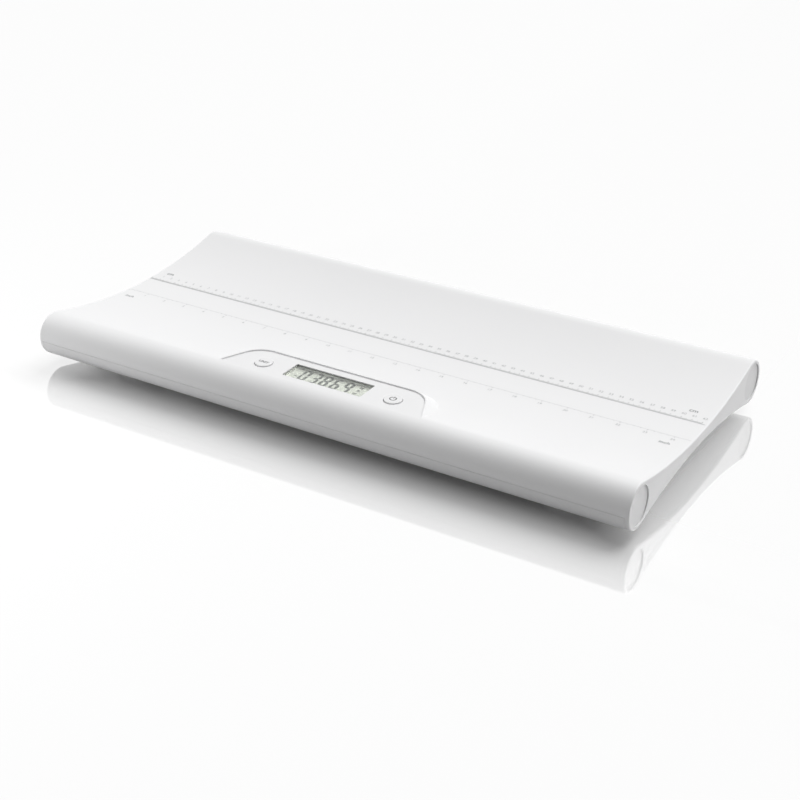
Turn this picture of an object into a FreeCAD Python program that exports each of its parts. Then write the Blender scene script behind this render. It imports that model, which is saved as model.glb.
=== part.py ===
import FreeCAD, Part
import math
import os
import Sketcher

# Digital baby weighing scale, in millimetres.
# Frame: origin on the table under the middle of the tray, +X along the two rolls, +Y from the display
# side to the far side, +Z up.  The tray is one long moulded section: two round rolls joined by a thin
# waist that is hollow on top, where the child lies, and arched underneath.

DRIVING_SIZES = (
    # the moulded section
    ("tray_length", 628.0),
    ("tray_depth", 296.0),
    ("roll_radius", 21.2),
    ("floor_clearance", 9.0),
    ("waist_top", 35.2),
    ("waist_underside", 24.4),
    ("wall", 2.4),
    ("end_wall", 3.6),
    ("end_round", 1.4),
    ("seam_height", 29.0),
    ("seam_gap", 0.3),
    ("cover_gap", 0.2),
    ("lip_height", 2.5),
    ("lip_wall", 1.2),
    ("lip_gap", 0.15),
    # ribs under the hollow
    ("rib_wall", 1.6),
    ("rib_end_setback", 54.0),
    ("rib_count", 11.0),
    ("rib_foot_setback", 32.0),
    ("rib_gap", 0.4),
    # the round plugs in the ends of the rolls
    ("plug_radius", 17.6),
    ("plug_gap", 0.2),
    ("plug_plate", 1.6),
    ("plug_recess", 1.0),
    ("plug_ledge", 1.2),
    ("plug_skirt_wall", 1.6),
    ("plug_skirt_length", 6.0),
    # the raised console
    ("console_height", 50.2),
    ("console_rim", 1.0),
    ("console_rim_rise", 1.2),
    ("console_depth", 42.8),
    ("console_face_setback", 3.8),
    ("console_rear_width", 182.4),
    ("console_front_width", 220.0),
    ("console_corner", 25.0),
    ("console_flare", 52.0),
    ("window_width", 84.6),
    ("window_setback", 8.7),
    ("window_depth", 24.8),
    ("window_corner", 1.0),
    ("window_rim", 1.0),
    ("lens_lap", 3.0),
    ("lens_gap", 0.15),
    # the buttons and their switches
    ("button_spacing", 140.4),
    ("button_setback", 23.2),
    ("button_radius", 8.4),
    ("button_gap", 0.5),
    ("button_rise", 1.2),
    ("button_edge", 0.6),
    ("button_flange", 1.4),
    ("button_lap", 1.15),
    ("button_skin", 1.6),
    ("button_stem_radius", 3.0),
    ("stem_reach", 2.0),
    ("switch_width", 6.0),
    ("switch_thickness", 3.5),
    ("plunger_radius", 1.75),
    ("plunger_gap", 0.08),
    ("plunger_depth", 1.7),
    ("plunger_room", 1.0),
    # the circuit board and the display stack
    ("board_thickness", 1.6),
    ("board_clearance", 0.17),
    ("board_width", 168.0),
    ("board_setback", 2.0),
    ("board_depth", 41.0),
    ("board_corner", 3.0),
    ("post_radius", 2.6),
    ("post_spacing", 108.0),
    ("post_setback", 10.0),
    ("post_pitch", 26.0),
    ("post_bore", 1.1),
    ("board_hole", 1.3),
    ("glass_thickness", 2.7),
    ("glass_gap", 2.2),
    ("glass_lap", 2.0),
    ("holder_wall", 2.2),
    ("holder_gap", 0.2),
    ("strip_width", 2.2),
    ("strip_length", 80.0),
    ("chip_side", 12.0),
    ("chip_height", 1.5),
    ("capacitor_radius", 2.0),
    # the battery bay, four AAA cells in two rows
    ("cell_radius", 5.25),
    ("cell_length", 44.5),
    ("cell_nub_radius", 1.9),
    ("cell_nub", 1.0),
    ("cell_gap", 0.55),
    ("cell_pitch", 11.2),
    ("bay_setback", 6.0),
    ("cell_clearance", 0.88),
    ("contact_sheet", 0.4),
    ("contact_reach", 4.6),
    ("tab_width", 4.0),
    ("tab_gap", 0.3),
    ("spring_length", 6.2),
    ("spring_wire", 0.3),
    ("spring_radius", 3.2),
    ("spring_turns", 4.0),
    ("spring_sides", 12.0),
    ("bay_wall", 1.8),
    ("bay_roof", 1.5),
    ("bay_frame", 4.8),
    ("bay_frame_lap", 3.8),
    ("door_skin", 1.8),
    ("door_gap", 0.3),
    ("door_lap", 2.9),
    ("hinge_inset", 1.5),
    ("hinge_rise", 1.9),
    ("barrel_radius", 1.7),
    ("barrel_room", 2.1),
    ("pin_radius", 1.0),
    ("pin_gap", 0.06),
    ("pin_length", 2.5),
    ("cradle_wall", 1.4),
    ("cradle_reach", 11.0),
    ("grip_width", 18.0),
    ("grip_groove", 1.2),
    ("grip_pitch", 2.4),
    ("grip_depth", 0.6),
    # feet and load cells
    ("foot_end_setback", 78.0),
    ("foot_roll_setback", 36.8),
    ("cup_radius", 20.6),
    ("cup_wall", 1.9),
    ("cup_bottom", 5.0),
    ("cup_ceiling", 21.5),
    ("cup_roof", 2.0),
    ("pad_radius", 15.5),
    ("pad_rise", 2.5),
    ("pad_sunk", 1.0),
    ("pad_edge", 0.5),
    ("pad_gap", 0.1),
    ("foot_radius", 19.4),
    ("foot_base_radius", 17.5),
    ("foot_floor", 1.5),
    ("foot_rim", 8.0),
    ("foot_post_radius", 4.5),
    ("load_cell_side", 26.6),
    ("load_cell_corner", 2.0),
    ("load_cell_thickness", 2.4),
    ("load_cell_height", 14.6),
    ("load_cell_slot", 2.0),
    ("load_cell_tongue", 9.0),
    ("socket_gap", 0.2),
    ("socket_relief", 9.0),
    ("socket_relief_depth", 2.5),
    ("holder_side_gap", 0.3),
    # screws
    ("screw_end_setback", 29.0),
    ("screw_foot_setback", 86.0),
    ("screw_roll_setback", 26.8),
    ("boss_radius", 4.5),
    ("boss_joint", 24.0),
    ("boss_bore", 1.6),
    ("boss_sink", 0.3),
    ("pillar_rise", 0.1),
    ("boss_bore_depth", 12.0),
    ("screw_seat", 20.0),
    ("screw_head_radius", 2.8),
    ("screw_head", 2.0),
    ("screw_radius", 1.5),
    ("screw_length", 13.0),
    ("screw_room", 0.4),
    ("cross_width", 0.8),
    ("cross_depth", 1.1),
    ("board_screw_head_radius", 2.2),
    ("board_screw_head", 1.4),
    ("board_screw_radius", 1.0),
    ("board_screw_length", 6.0),
    # leads
    ("lead_radius", 1.1),
    ("lead_hole_gap", 0.5),
    ("lead_offset", 11.0),
    ("lead_bend", 3.0),
    ("front_lead_drop", 4.1),
    ("rear_lead_drop", 9.8),
    ("rear_lead_setback", 2.5),
    ("plug_block_width", 12.0),
    ("plug_block_setback", 2.0),
    ("plug_block_depth", 13.0),
    ("plug_block_height", 4.5),
)

doc = FreeCAD.newDocument("baby_scale")
sheet = doc.addObject("Spreadsheet::Sheet", "sizes")


def fill_sheet(sizes, first_row=1):
    """Write each size, a value or a formula over the other sizes, into a row of the sheet."""
    for row, (alias, content) in enumerate(sizes, start=first_row):
        sheet.set(f"A{row}", alias)
        sheet.set(f"B{row}", str(content).replace("sizes.", ""))
        sheet.setAlias(f"B{row}", alias)
    doc.recompute()


fill_sheet(DRIVING_SIZES)

# Heights and places that several pieces share, as expressions over the sheet.
ROLL_Y = "(sizes.tray_depth / 2 - sizes.roll_radius)"
ROLL_Z = "(sizes.floor_clearance + sizes.roll_radius)"
HALF_LENGTH = "(sizes.tray_length / 2)"
INSIDE_LENGTH = "(sizes.tray_length - 2 * sizes.end_wall)"
HOLLOW_STEP = f"(sizes.waist_top - {ROLL_Z})"
ARCH_STEP = f"({ROLL_Z} - sizes.waist_underside)"
HOLLOW_RADIUS = (
    f"(({ROLL_Y}^2 + {HOLLOW_STEP}^2 - sizes.roll_radius^2)"
    f" / (2 * (sizes.roll_radius - {HOLLOW_STEP})))"
)
ARCH_RADIUS = (
    f"(({ROLL_Y}^2 + {ARCH_STEP}^2 - sizes.roll_radius^2)"
    f" / (2 * (sizes.roll_radius - {ARCH_STEP})))"
)
CONSOLE_SKIN_Z = "(sizes.console_height - sizes.wall)"
FLARE_SINE = "sin(sizes.console_flare * 1 deg)"
FLARE_COSINE = "cos(sizes.console_flare * 1 deg)"


def tray_height(y, below="0"):
    """Height of the hollow's surface at y, or of a surface that lies parallel below it."""
    return (
        f"(sizes.waist_top + {HOLLOW_RADIUS}"
        f" - sqrt(({HOLLOW_RADIUS} + {below})^2 - ({y})^2))"
    )


def arch_height(y, above="0"):
    """Height of the arched underside at y, or of a surface that lies parallel above it."""
    return (
        f"(sizes.waist_underside - {ARCH_RADIUS}"
        f" + sqrt(({ARCH_RADIUS} + {above})^2 - ({y})^2))"
    )


# Places that keep their distance from the tray's ends, its rolls, the console and the skins.
DERIVED_SIZES = (
    ("console_rear", f"={ROLL_Y} - sizes.console_depth"),
    ("console_front", f"={ROLL_Y} - sizes.console_face_setback"),
    ("window_rear", "=sizes.console_rear + sizes.window_setback"),
    ("button_place", "=sizes.console_rear + sizes.button_setback"),
    ("board_rear", "=sizes.console_rear - sizes.board_setback"),
    ("board_top", f"={tray_height('sizes.board_rear', 'sizes.wall')} - sizes.board_clearance"),
    ("post_rear", "=sizes.board_rear + sizes.post_setback"),
    ("bay_place", "=sizes.console_rear + sizes.bay_setback"),
    ("front_tab_place", "=sizes.bay_place + sizes.cell_pitch / 2"),
    ("rear_tab_place", "=sizes.bay_place - sizes.cell_pitch / 2"),
    ("door_inside", f"={arch_height('sizes.rear_tab_place', 'sizes.door_skin')}"),
    ("cell_height", "=sizes.door_inside + sizes.cell_clearance + sizes.cell_radius"),
    ("foot_x", f"={HALF_LENGTH} - sizes.foot_end_setback"),
    ("foot_y", f"={ROLL_Y} - sizes.foot_roll_setback"),
    ("rib_pitch", f"=2 * ({HALF_LENGTH} - sizes.rib_end_setback) / (sizes.rib_count - 1)"),
    ("rib_reach", "=sizes.foot_y - sizes.rib_foot_setback"),
    ("screw_outer_x", f"={HALF_LENGTH} - sizes.screw_end_setback"),
    ("screw_inner_x", "=sizes.foot_x - sizes.screw_foot_setback"),
    ("screw_y", f"={ROLL_Y} - sizes.screw_roll_setback"),
    ("front_lead_height", "=sizes.board_top - sizes.front_lead_drop"),
    ("rear_lead_height", "=sizes.board_top - sizes.rear_lead_drop"),
    ("rear_lead_place", "=sizes.board_rear + sizes.rear_lead_setback"),
    ("plug_block_x", "=sizes.board_width / 2 - sizes.plug_block_setback"),
)
fill_sheet(DERIVED_SIZES, len(DRIVING_SIZES) + 1)


def number(expression):
    """Value of a sheet expression."""
    return float(sheet.evalExpression(str(expression)))


def new_body(label):
    body = doc.addObject("PartDesign::Body", label)
    body.Label = label
    return body


def origin_feature(body, role):
    return next(item for item in body.Origin.OriginFeatures if item.Role == role)


def place(item, x="0", y="0", z="0"):
    """Bind a sub-part's placement to the sheet."""
    item.setExpression("Placement.Base.x", str(x))
    item.setExpression("Placement.Base.y", str(y))
    item.setExpression("Placement.Base.z", str(z))
    return item


def new_sketch(body, name, plane, offset="0"):
    """Sketch on one of the body's origin planes, moved along the plane's normal."""
    sketch = body.newObject("Sketcher::SketchObject", name)
    sketch.AttachmentSupport = [(origin_feature(body, plane), "")]
    sketch.MapMode = "FlatFace"
    sketch.setExpression("AttachmentOffset.Base.z", str(offset))
    return sketch


def bind(sketch, expression, *constraint):
    """Add a dimension to a sketch and bind it to the sheet."""
    index = sketch.addConstraint(Sketcher.Constraint(*constraint, number(expression)))
    sketch.setExpression(f"Constraints[{index}]", str(expression))


def pin_point(sketch, geometry, point, x, y):
    bind(sketch, x, "DistanceX", -1, 1, geometry, point)
    bind(sketch, y, "DistanceY", -1, 1, geometry, point)


def vector(x, y):
    return FreeCAD.Vector(number(x), number(y), 0)


def add_circle(sketch, x, y, radius):
    circle = Part.Circle(vector(x, y), FreeCAD.Vector(0, 0, 1), number(radius))
    geometry = sketch.addGeometry(circle, False)
    pin_point(sketch, geometry, 3, x, y)
    bind(sketch, radius, "Radius", geometry)


def circle_sketch(body, name, plane, offset, circles):
    """Sketch of circles, each (x, y, radius)."""
    sketch = new_sketch(body, name, plane, offset)
    for x, y, radius in circles:
        add_circle(sketch, x, y, radius)
    return sketch


def outline_sketch(body, name, plane, offset, corners):
    """Closed outline through corners (x, y) or (x, y, radius, side).

    A corner with a radius starts an arc to the next corner, with its centre on the left (+1) or on
    the right (-1) of the way there.  Every corner is dimensioned from the origin.
    """
    sketch = new_sketch(body, name, plane, offset)
    add_outline(sketch, corners)
    return sketch


def add_outline(sketch, corners):
    ends = []
    for index, corner in enumerate(corners):
        following = corners[(index + 1) % len(corners)]
        start, end = vector(*corner[:2]), vector(*following[:2])
        if len(corner) == 2:
            geometry = sketch.addGeometry(Part.LineSegment(start, end), False)
            ends.append((geometry, 1, 2))
            continue
        radius, side = corner[2], corner[3]
        geometry = sketch.addGeometry(arc_between(start, end, number(radius), side), False)
        bind(sketch, radius, "Radius", geometry)
        ends.append((geometry, 1, 2) if side > 0 else (geometry, 2, 1))
    for index, (geometry, first, last) in enumerate(ends):
        next_geometry, next_first, _ = ends[(index + 1) % len(ends)]
        sketch.addConstraint(Sketcher.Constraint("Coincident", geometry, last, next_geometry, next_first))
        pin_point(sketch, geometry, first, corners[index][0], corners[index][1])


def arc_between(start, end, radius, side):
    """Minor arc between two points; sketch arcs run counter-clockwise, so side -1 is drawn backwards."""
    if side < 0:
        start, end = end, start
    middle = (start + end) / 2
    chord = end - start
    left = FreeCAD.Vector(-chord.y, chord.x, 0).normalize()
    centre = middle + left * math.sqrt(radius**2 - (chord.Length / 2) ** 2)
    first = math.atan2(start.y - centre.y, start.x - centre.x)
    last = math.atan2(end.y - centre.y, end.x - centre.x)
    return Part.ArcOfCircle(Part.Circle(centre, FreeCAD.Vector(0, 0, 1), radius), first, last)


def rounded_sketch(body, name, plane, offset, corners):
    """Closed straight-sided outline through corners (x, y, radius), each rounded by a tangent arc.

    A corner with radius None stays sharp.  The sides pass through the sharp corners, which are
    construction points dimensioned from the origin.
    """
    sketch = new_sketch(body, name, plane, offset)
    count = len(corners)
    sharp = [vector(x, y) for x, y, _ in corners]
    trims = []
    for index, (_, _, radius) in enumerate(corners):
        back = (sharp[index - 1] - sharp[index]).normalize()
        ahead = (sharp[(index + 1) % count] - sharp[index]).normalize()
        half_angle = back.getAngle(ahead) / 2
        trims.append(0.0 if radius is None else number(radius) / math.tan(half_angle))
    sides = []
    for index in range(count):
        start, end = sharp[index], sharp[(index + 1) % count]
        way = (end - start).normalize()
        line = Part.LineSegment(start + way * trims[index], end - way * trims[(index + 1) % count])
        sides.append(sketch.addGeometry(line, False))
    for index, (x, y, radius) in enumerate(corners):
        before, after = sides[index - 1], sides[index]
        if radius is None:
            sketch.addConstraint(Sketcher.Constraint("Coincident", before, 2, after, 1))
            pin_point(sketch, after, 1, x, y)
            continue
        start = sketch.getPoint(before, 2)
        end = sketch.getPoint(after, 1)
        turn = (sharp[index] - sharp[index - 1]).cross(sharp[(index + 1) % count] - sharp[index]).z
        side = 1 if turn > 0 else -1
        arc = sketch.addGeometry(arc_between(start, end, number(radius), side), False)
        first, last = (1, 2) if side > 0 else (2, 1)
        sketch.addConstraint(Sketcher.Constraint("Tangent", before, 2, arc, first))
        sketch.addConstraint(Sketcher.Constraint("Tangent", arc, last, after, 1))
        bind(sketch, radius, "Radius", arc)
        point = sketch.addGeometry(Part.Point(sharp[index]), True)
        pin_point(sketch, point, 1, x, y)
        sketch.addConstraint(Sketcher.Constraint("PointOnObject", point, 1, before))
        sketch.addConstraint(Sketcher.Constraint("PointOnObject", point, 1, after))
    return sketch


def rectangle(x_low, x_high, y_low, y_high, radius=None):
    return [
        (x_low, y_low, radius),
        (x_high, y_low, radius),
        (x_high, y_high, radius),
        (x_low, y_high, radius),
    ]


def pad(body, sketch, length, symmetric=False, backwards=False, taper=None):
    feature = body.newObject("PartDesign::Pad", sketch.Label + "_pad")
    feature.Profile = sketch
    return set_extent(feature, length, symmetric, backwards, taper)


def pocket(body, sketch, length, symmetric=False, backwards=False, taper=None):
    """Cut a sketch out of the body, and make sure that it did cut."""
    doc.recompute()
    volume_before = body.Shape.Volume
    feature = body.newObject("PartDesign::Pocket", sketch.Label + "_pocket")
    feature.Profile = sketch
    set_extent(feature, length, symmetric, backwards, taper)
    doc.recompute()
    if not body.Shape.Volume < volume_before - 1e-6:
        raise RuntimeError(f"{feature.Label} cuts nothing")
    return feature


def set_extent(feature, length, symmetric, backwards, taper):
    feature.setExpression("Length", str(length))
    feature.SideType = "Symmetric" if symmetric else "One side"
    feature.Reversed = backwards
    if taper is not None:
        feature.setExpression("TaperAngle", str(taper))
    return feature


def revolve(body, sketch, axis="V_Axis"):
    feature = body.newObject("PartDesign::Revolution", sketch.Label + "_turned")
    feature.Profile = sketch
    feature.ReferenceAxis = (sketch, [axis])
    feature.Angle = 360
    return feature


def mirror(body, features, plane):
    feature = body.newObject("PartDesign::Mirrored", features[0].Label + "_mirrored")
    feature.Originals = features
    feature.MirrorPlane = (origin_feature(body, plane), [""])
    body.Tip = feature
    return feature


# The section of the tray: roll arcs joined by a web arc that is tangent to both.


def roll_centre(side):
    return FreeCAD.Vector(side * number(ROLL_Y), number(ROLL_Z), 0)


def web_centre(web):
    if web == "hollow":
        return FreeCAD.Vector(0, number(f"sizes.waist_top + {HOLLOW_RADIUS}"), 0)
    return FreeCAD.Vector(0, number(f"sizes.waist_underside - {ARCH_RADIUS}"), 0)


def web_angle(side, web):
    """Direction from a roll's centre to the point where the web leaves the roll."""
    way = web_centre(web) - roll_centre(side)
    return math.atan2(way.y, way.x)


def add_arc(sketch, centre, radius, first, last):
    while last < first:
        last += 2 * math.pi
    circle = Part.Circle(centre, FreeCAD.Vector(0, 0, 1), radius)
    return sketch.addGeometry(Part.ArcOfCircle(circle, first, last), False)


def add_roll_arc(sketch, side, inset, first, last):
    """Arc of a roll, or of the surface that lies inset inside it."""
    radius = f"(sizes.roll_radius - {inset})"
    arc = add_arc(sketch, roll_centre(side), number(radius), first, last)
    bind(sketch, radius, "Radius", arc)
    pin_point(sketch, arc, 3, f"{side} * {ROLL_Y}", ROLL_Z)
    return arc


def add_web_arc(sketch, web, inset, front_roll, rear_roll):
    """Web arc that passes the waist and is tangent to the two roll arcs at the ends given."""
    outward = 1 if web == "hollow" else -1
    waist = "sizes.waist_top" if web == "hollow" else "sizes.waist_underside"
    centre = web_centre(web)
    waist_z = f"({waist} - {outward} * {inset})"
    front = web_angle(-1, web) + math.pi
    rear = web_angle(1, web) + math.pi
    first, last = (front, rear) if web == "hollow" else (rear, front)
    arc = add_arc(sketch, centre, abs(centre.y - number(waist_z)), first, last)
    front_end, rear_end = (1, 2) if web == "hollow" else (2, 1)
    sketch.addConstraint(Sketcher.Constraint("Tangent", arc, front_end, *front_roll))
    sketch.addConstraint(Sketcher.Constraint("Tangent", arc, rear_end, *rear_roll))
    point = sketch.addGeometry(Part.Point(FreeCAD.Vector(0, number(waist_z), 0)), True)
    pin_point(sketch, point, 1, "0", waist_z)
    sketch.addConstraint(Sketcher.Constraint("PointOnObject", point, 1, arc))
    return arc


def add_polyline(sketch, start, end, corners):
    """Straight sides from one free arc end, through corners, to another free arc end."""
    points = [sketch.getPoint(*start)] + [vector(*corner) for corner in corners] + [sketch.getPoint(*end)]
    lines = []
    for first, last in zip(points, points[1:]):
        lines.append(sketch.addGeometry(Part.LineSegment(first, last), False))
    sketch.addConstraint(Sketcher.Constraint("Coincident", *start, lines[0], 1))
    for index, corner in enumerate(corners):
        sketch.addConstraint(Sketcher.Constraint("Coincident", lines[index], 2, lines[index + 1], 1))
        pin_point(sketch, lines[index], 2, *corner)
    sketch.addConstraint(Sketcher.Constraint("Coincident", lines[-1], 2, *end))


def full_section(body):
    """The whole bone-shaped section."""
    sketch = new_sketch(body, "tray_section", "YZ_Plane")
    rear = add_roll_arc(sketch, 1, "0", web_angle(1, "arch"), web_angle(1, "hollow"))
    front = add_roll_arc(sketch, -1, "0", web_angle(-1, "hollow"), web_angle(-1, "arch"))
    add_web_arc(sketch, "hollow", "0", (front, 1), (rear, 2))
    add_web_arc(sketch, "arch", "0", (front, 2), (rear, 1))
    return sketch


def seam_angle(side, inset, height):
    """Direction from a roll's centre to the point of its inset surface at a height, on the outer side."""
    rise = math.asin(number(f"({height} - {ROLL_Z}) / (sizes.roll_radius - {inset})"))
    return rise if side > 0 else math.pi - rise


def tray_space_section(body):
    """Everything under the top skin: the inside of the shell and the room for the bottom cover."""
    sketch = new_sketch(body, "tray_space", "YZ_Plane")
    seam = "(sizes.seam_height + sizes.seam_gap)"
    wall = "sizes.wall"
    rear = add_roll_arc(sketch, 1, wall, seam_angle(1, wall, seam), web_angle(1, "hollow"))
    front = add_roll_arc(sketch, -1, wall, web_angle(-1, "hollow"), seam_angle(-1, wall, seam))
    add_web_arc(sketch, "hollow", wall, (front, 1), (rear, 2))
    bind(sketch, seam, "DistanceY", -1, 1, rear, 1)
    bind(sketch, seam, "DistanceY", -1, 1, front, 2)
    outside, below = "sizes.tray_depth", "-sizes.wall"
    corners = [(f"-{outside}", seam), (f"-{outside}", below), (outside, below), (outside, seam)]
    add_polyline(sketch, (front, 2), (rear, 1), corners)
    return sketch


def console_outline(inset, front=None):
    """Trapezium of the console, narrower at the rear, moved inwards by an inset on every side."""
    slope = "((sizes.console_front_width - sizes.console_rear_width) / 2 / (ROLL - sizes.console_rear))"
    slope = slope.replace("ROLL", ROLL_Y)
    side_inset = f"({inset} * sqrt(1 + {slope}^2))"
    front = front or ROLL_Y
    rear, rear_corner = f"(sizes.console_rear + {inset})", f"(sizes.console_corner - {inset})"
    corners = []
    for place, corner in ((front, None), (rear, rear_corner)):
        half = f"(sizes.console_rear_width / 2 + {slope} * ({place} - sizes.console_rear) - {side_inset})"
        corners.append((half, f"(-{place})", corner))
    (front_x, front_y, _), (rear_x, rear_y, corner) = corners
    return [
        (f"-{front_x}", front_y, None),
        (front_x, front_y, None),
        (rear_x, rear_y, corner),
        (f"-{rear_x}", rear_y, corner),
    ]


def web_band(y_front, y_rear, low, high):
    """Outline between two surfaces parallel to the arched underside, low and high above it."""
    return [
        (f"-{y_front}", arch_height(y_front, low), f"({ARCH_RADIUS} + {low})", -1),
        (f"-{y_rear}", arch_height(y_rear, low)),
        (f"-{y_rear}", arch_height(y_rear, high), f"({ARCH_RADIUS} + {high})", 1),
        (f"-{y_front}", arch_height(y_front, high)),
    ]


# The tray's upper moulding.


def rib_outline(y_low, y_high):
    """Straight rib along the tray, a little lower than the ribs that cross it."""
    foot = "sizes.wall + 2 * sizes.rib_gap"
    return [
        (y_low, arch_height(y_low, foot)),
        (y_high, arch_height(y_high, foot)),
        (y_high, tray_height(y_high, "sizes.wall * 2 / 3")),
        (y_low, tray_height(y_low, "sizes.wall * 2 / 3")),
    ]


def cross_rib_outline():
    """Rib across the tray, curved like the skin above it and the cover below it."""
    foot = "(sizes.wall + sizes.rib_gap)"
    reach = "sizes.rib_reach"
    return [
        (f"-{reach}", arch_height(reach, foot), f"({ARCH_RADIUS} + {foot})", -1),
        (reach, arch_height(reach, foot)),
        (reach, tray_height(reach, "sizes.wall / 2"), f"({HOLLOW_RADIUS} + sizes.wall / 2)", -1),
        (f"-{reach}", tray_height(reach, "sizes.wall / 2")),
    ]


def screw_places(radius):
    """The eight housing screws as circles."""
    places = []
    for x in ("-sizes.screw_outer_x", "-sizes.screw_inner_x", "sizes.screw_inner_x", "sizes.screw_outer_x"):
        for y in ("-sizes.screw_y", "sizes.screw_y"):
            places.append((x, y, radius))
    return places


def board_screw_places(radius):
    places = []
    for side in (-1, 1):
        x = f"({side} * sizes.post_spacing / 2)"
        places.append((x, "-sizes.post_rear", radius))
        places.append((x, "-(sizes.post_rear + sizes.post_pitch)", radius))
    return places


def button_places(radius):
    return [(f"({side} * sizes.button_spacing / 2)", "-sizes.button_place", radius) for side in (-1, 1)]


def add_ribs(body):
    thickness = "sizes.rib_wall"
    along = new_sketch(body, "long_ribs", "YZ_Plane")
    for y in ("-sizes.rib_reach", "0", "sizes.rib_reach"):
        add_outline(along, rib_outline(f"({y} - {thickness} / 2)", f"({y} + {thickness} / 2)"))
    pad(body, along, "sizes.rib_pitch * (sizes.rib_count - 3)", symmetric=True)
    first = "-sizes.rib_pitch * (sizes.rib_count - 1) / 2"
    across = outline_sketch(body, "cross_rib", "YZ_Plane", first, cross_rib_outline())
    rib = pad(body, across, thickness, symmetric=True)
    row = body.newObject("PartDesign::LinearPattern", "cross_ribs")
    row.Originals = [rib]
    row.Direction = (origin_feature(body, "X_Axis"), [""])
    row.setExpression("Length", "sizes.rib_pitch * (sizes.rib_count - 1)")
    row.setExpression("Occurrences", "sizes.rib_count")
    body.Tip = row


def cut_console(body):
    """Display window with the lens's seat under it, and the two button holes."""
    half, rear = "sizes.window_width / 2", "sizes.window_rear"
    front = "(sizes.window_rear + sizes.window_depth)"
    window = rectangle(f"-{half}", half, f"-{front}", f"-{rear}", "sizes.window_corner")
    opening = rounded_sketch(body, "window", "XY_Plane", "sizes.console_height", window)
    pocket(body, opening, "sizes.wall")
    lap = "(sizes.lens_lap + sizes.lens_gap)"
    seat = rectangle(f"-({half} + {lap})", f"({half} + {lap})", f"-({front} + {lap})", f"-({rear} - {lap})")
    sketch = rounded_sketch(body, "lens_seat", "XY_Plane", CONSOLE_SKIN_Z, seat)
    pocket(body, sketch, "sizes.wall - sizes.window_rim", backwards=True)
    holes = button_places("(sizes.button_radius + sizes.button_gap)")
    pocket(body, circle_sketch(body, "button_holes", "XY_Plane", "sizes.console_height", holes), "sizes.wall")


def add_posts(body):
    """Screw bosses under the tray and the four posts that carry the board."""
    bosses = circle_sketch(body, "bosses", "XY_Plane", "sizes.boss_joint", screw_places("sizes.boss_radius"))
    top = tray_height("(sizes.screw_y - sizes.boss_radius)", "sizes.boss_sink")
    pad(body, bosses, f"{top} - sizes.boss_joint")
    bores = circle_sketch(body, "boss_bores", "XY_Plane", "sizes.boss_joint", screw_places("sizes.boss_bore"))
    pocket(body, bores, "sizes.boss_bore_depth", backwards=True)
    posts = board_screw_places("sizes.post_radius")
    post_sketch = circle_sketch(body, "board_posts", "XY_Plane", "sizes.board_top", posts)
    pad(body, post_sketch, f"{CONSOLE_SKIN_Z} + sizes.wall / 2 - sizes.board_top")
    bores = board_screw_places("sizes.post_bore")
    bore_sketch = circle_sketch(body, "post_bores", "XY_Plane", "sizes.board_top", bores)
    pocket(body, bore_sketch, f"{CONSOLE_SKIN_Z} - sizes.board_top", backwards=True)


def cut_cap_holes(body):
    """Round holes with a ledge in the end walls, where the end caps sit."""
    steps = (
        ("cap_seats", "(sizes.plug_radius + sizes.plug_gap)", "sizes.plug_recess + sizes.plug_plate"),
        ("cap_holes", "(sizes.plug_radius - sizes.plug_ledge)", "sizes.end_wall"),
    )
    cuts = []
    for name, radius, depth in steps:
        circles = [(f"({side} * {ROLL_Y})", ROLL_Z, radius) for side in (-1, 1)]
        cuts.append(pocket(body, circle_sketch(body, name, "YZ_Plane", HALF_LENGTH, circles), depth))
    mirror(body, cuts, "YZ_Plane")


def round_ends(body, block):
    doc.recompute()
    end = number(HALF_LENGTH)
    names = []
    for index, edge in enumerate(block.Shape.Edges, 1):
        box = edge.BoundBox
        if box.XLength < 1e-6 and abs(abs(box.XMin) - end) < 1e-6:
            names.append(f"Edge{index}")
    fillet = body.newObject("PartDesign::Fillet", "rounded_ends")
    fillet.Base = (block, names)
    fillet.setExpression("Radius", "sizes.end_round")


def add_console(body):
    """Raised block with flared walls, hollowed from below, with its face sunk inside a narrow rim."""
    rim_top = "(sizes.console_height + sizes.console_rim_rise)"
    drop = f"({rim_top} - {tray_height('sizes.console_rear')} + 2 * sizes.wall)"
    block = rounded_sketch(body, "console", "XY_Plane", rim_top, console_outline("(-sizes.console_rim)"))
    pad(body, block, drop, backwards=True, taper="sizes.console_flare")
    pocket(body, tray_space_section(body), INSIDE_LENGTH, symmetric=True)
    wall_inset = f"sizes.wall * (1 - {FLARE_SINE}) / {FLARE_COSINE}"
    rim_spread = f"sizes.console_rim + sizes.console_rim_rise * {FLARE_SINE} / {FLARE_COSINE}"
    room_outline = console_outline(f"({wall_inset} - {rim_spread})")
    room = rounded_sketch(body, "console_room", "XY_Plane", CONSOLE_SKIN_Z, room_outline)
    pocket(body, room, drop, taper="sizes.console_flare")
    face_outline = console_outline("0", "sizes.console_front")
    face = rounded_sketch(body, "console_face", "XY_Plane", rim_top, face_outline)
    pocket(body, face, "sizes.console_rim_rise")


def make_tray_top_shell():
    body = new_body("tray_top_shell")
    round_ends(body, pad(body, full_section(body), "sizes.tray_length", symmetric=True))
    add_console(body)
    add_ribs(body)
    cut_console(body)
    add_posts(body)
    cut_cap_holes(body)
    return body


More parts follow.
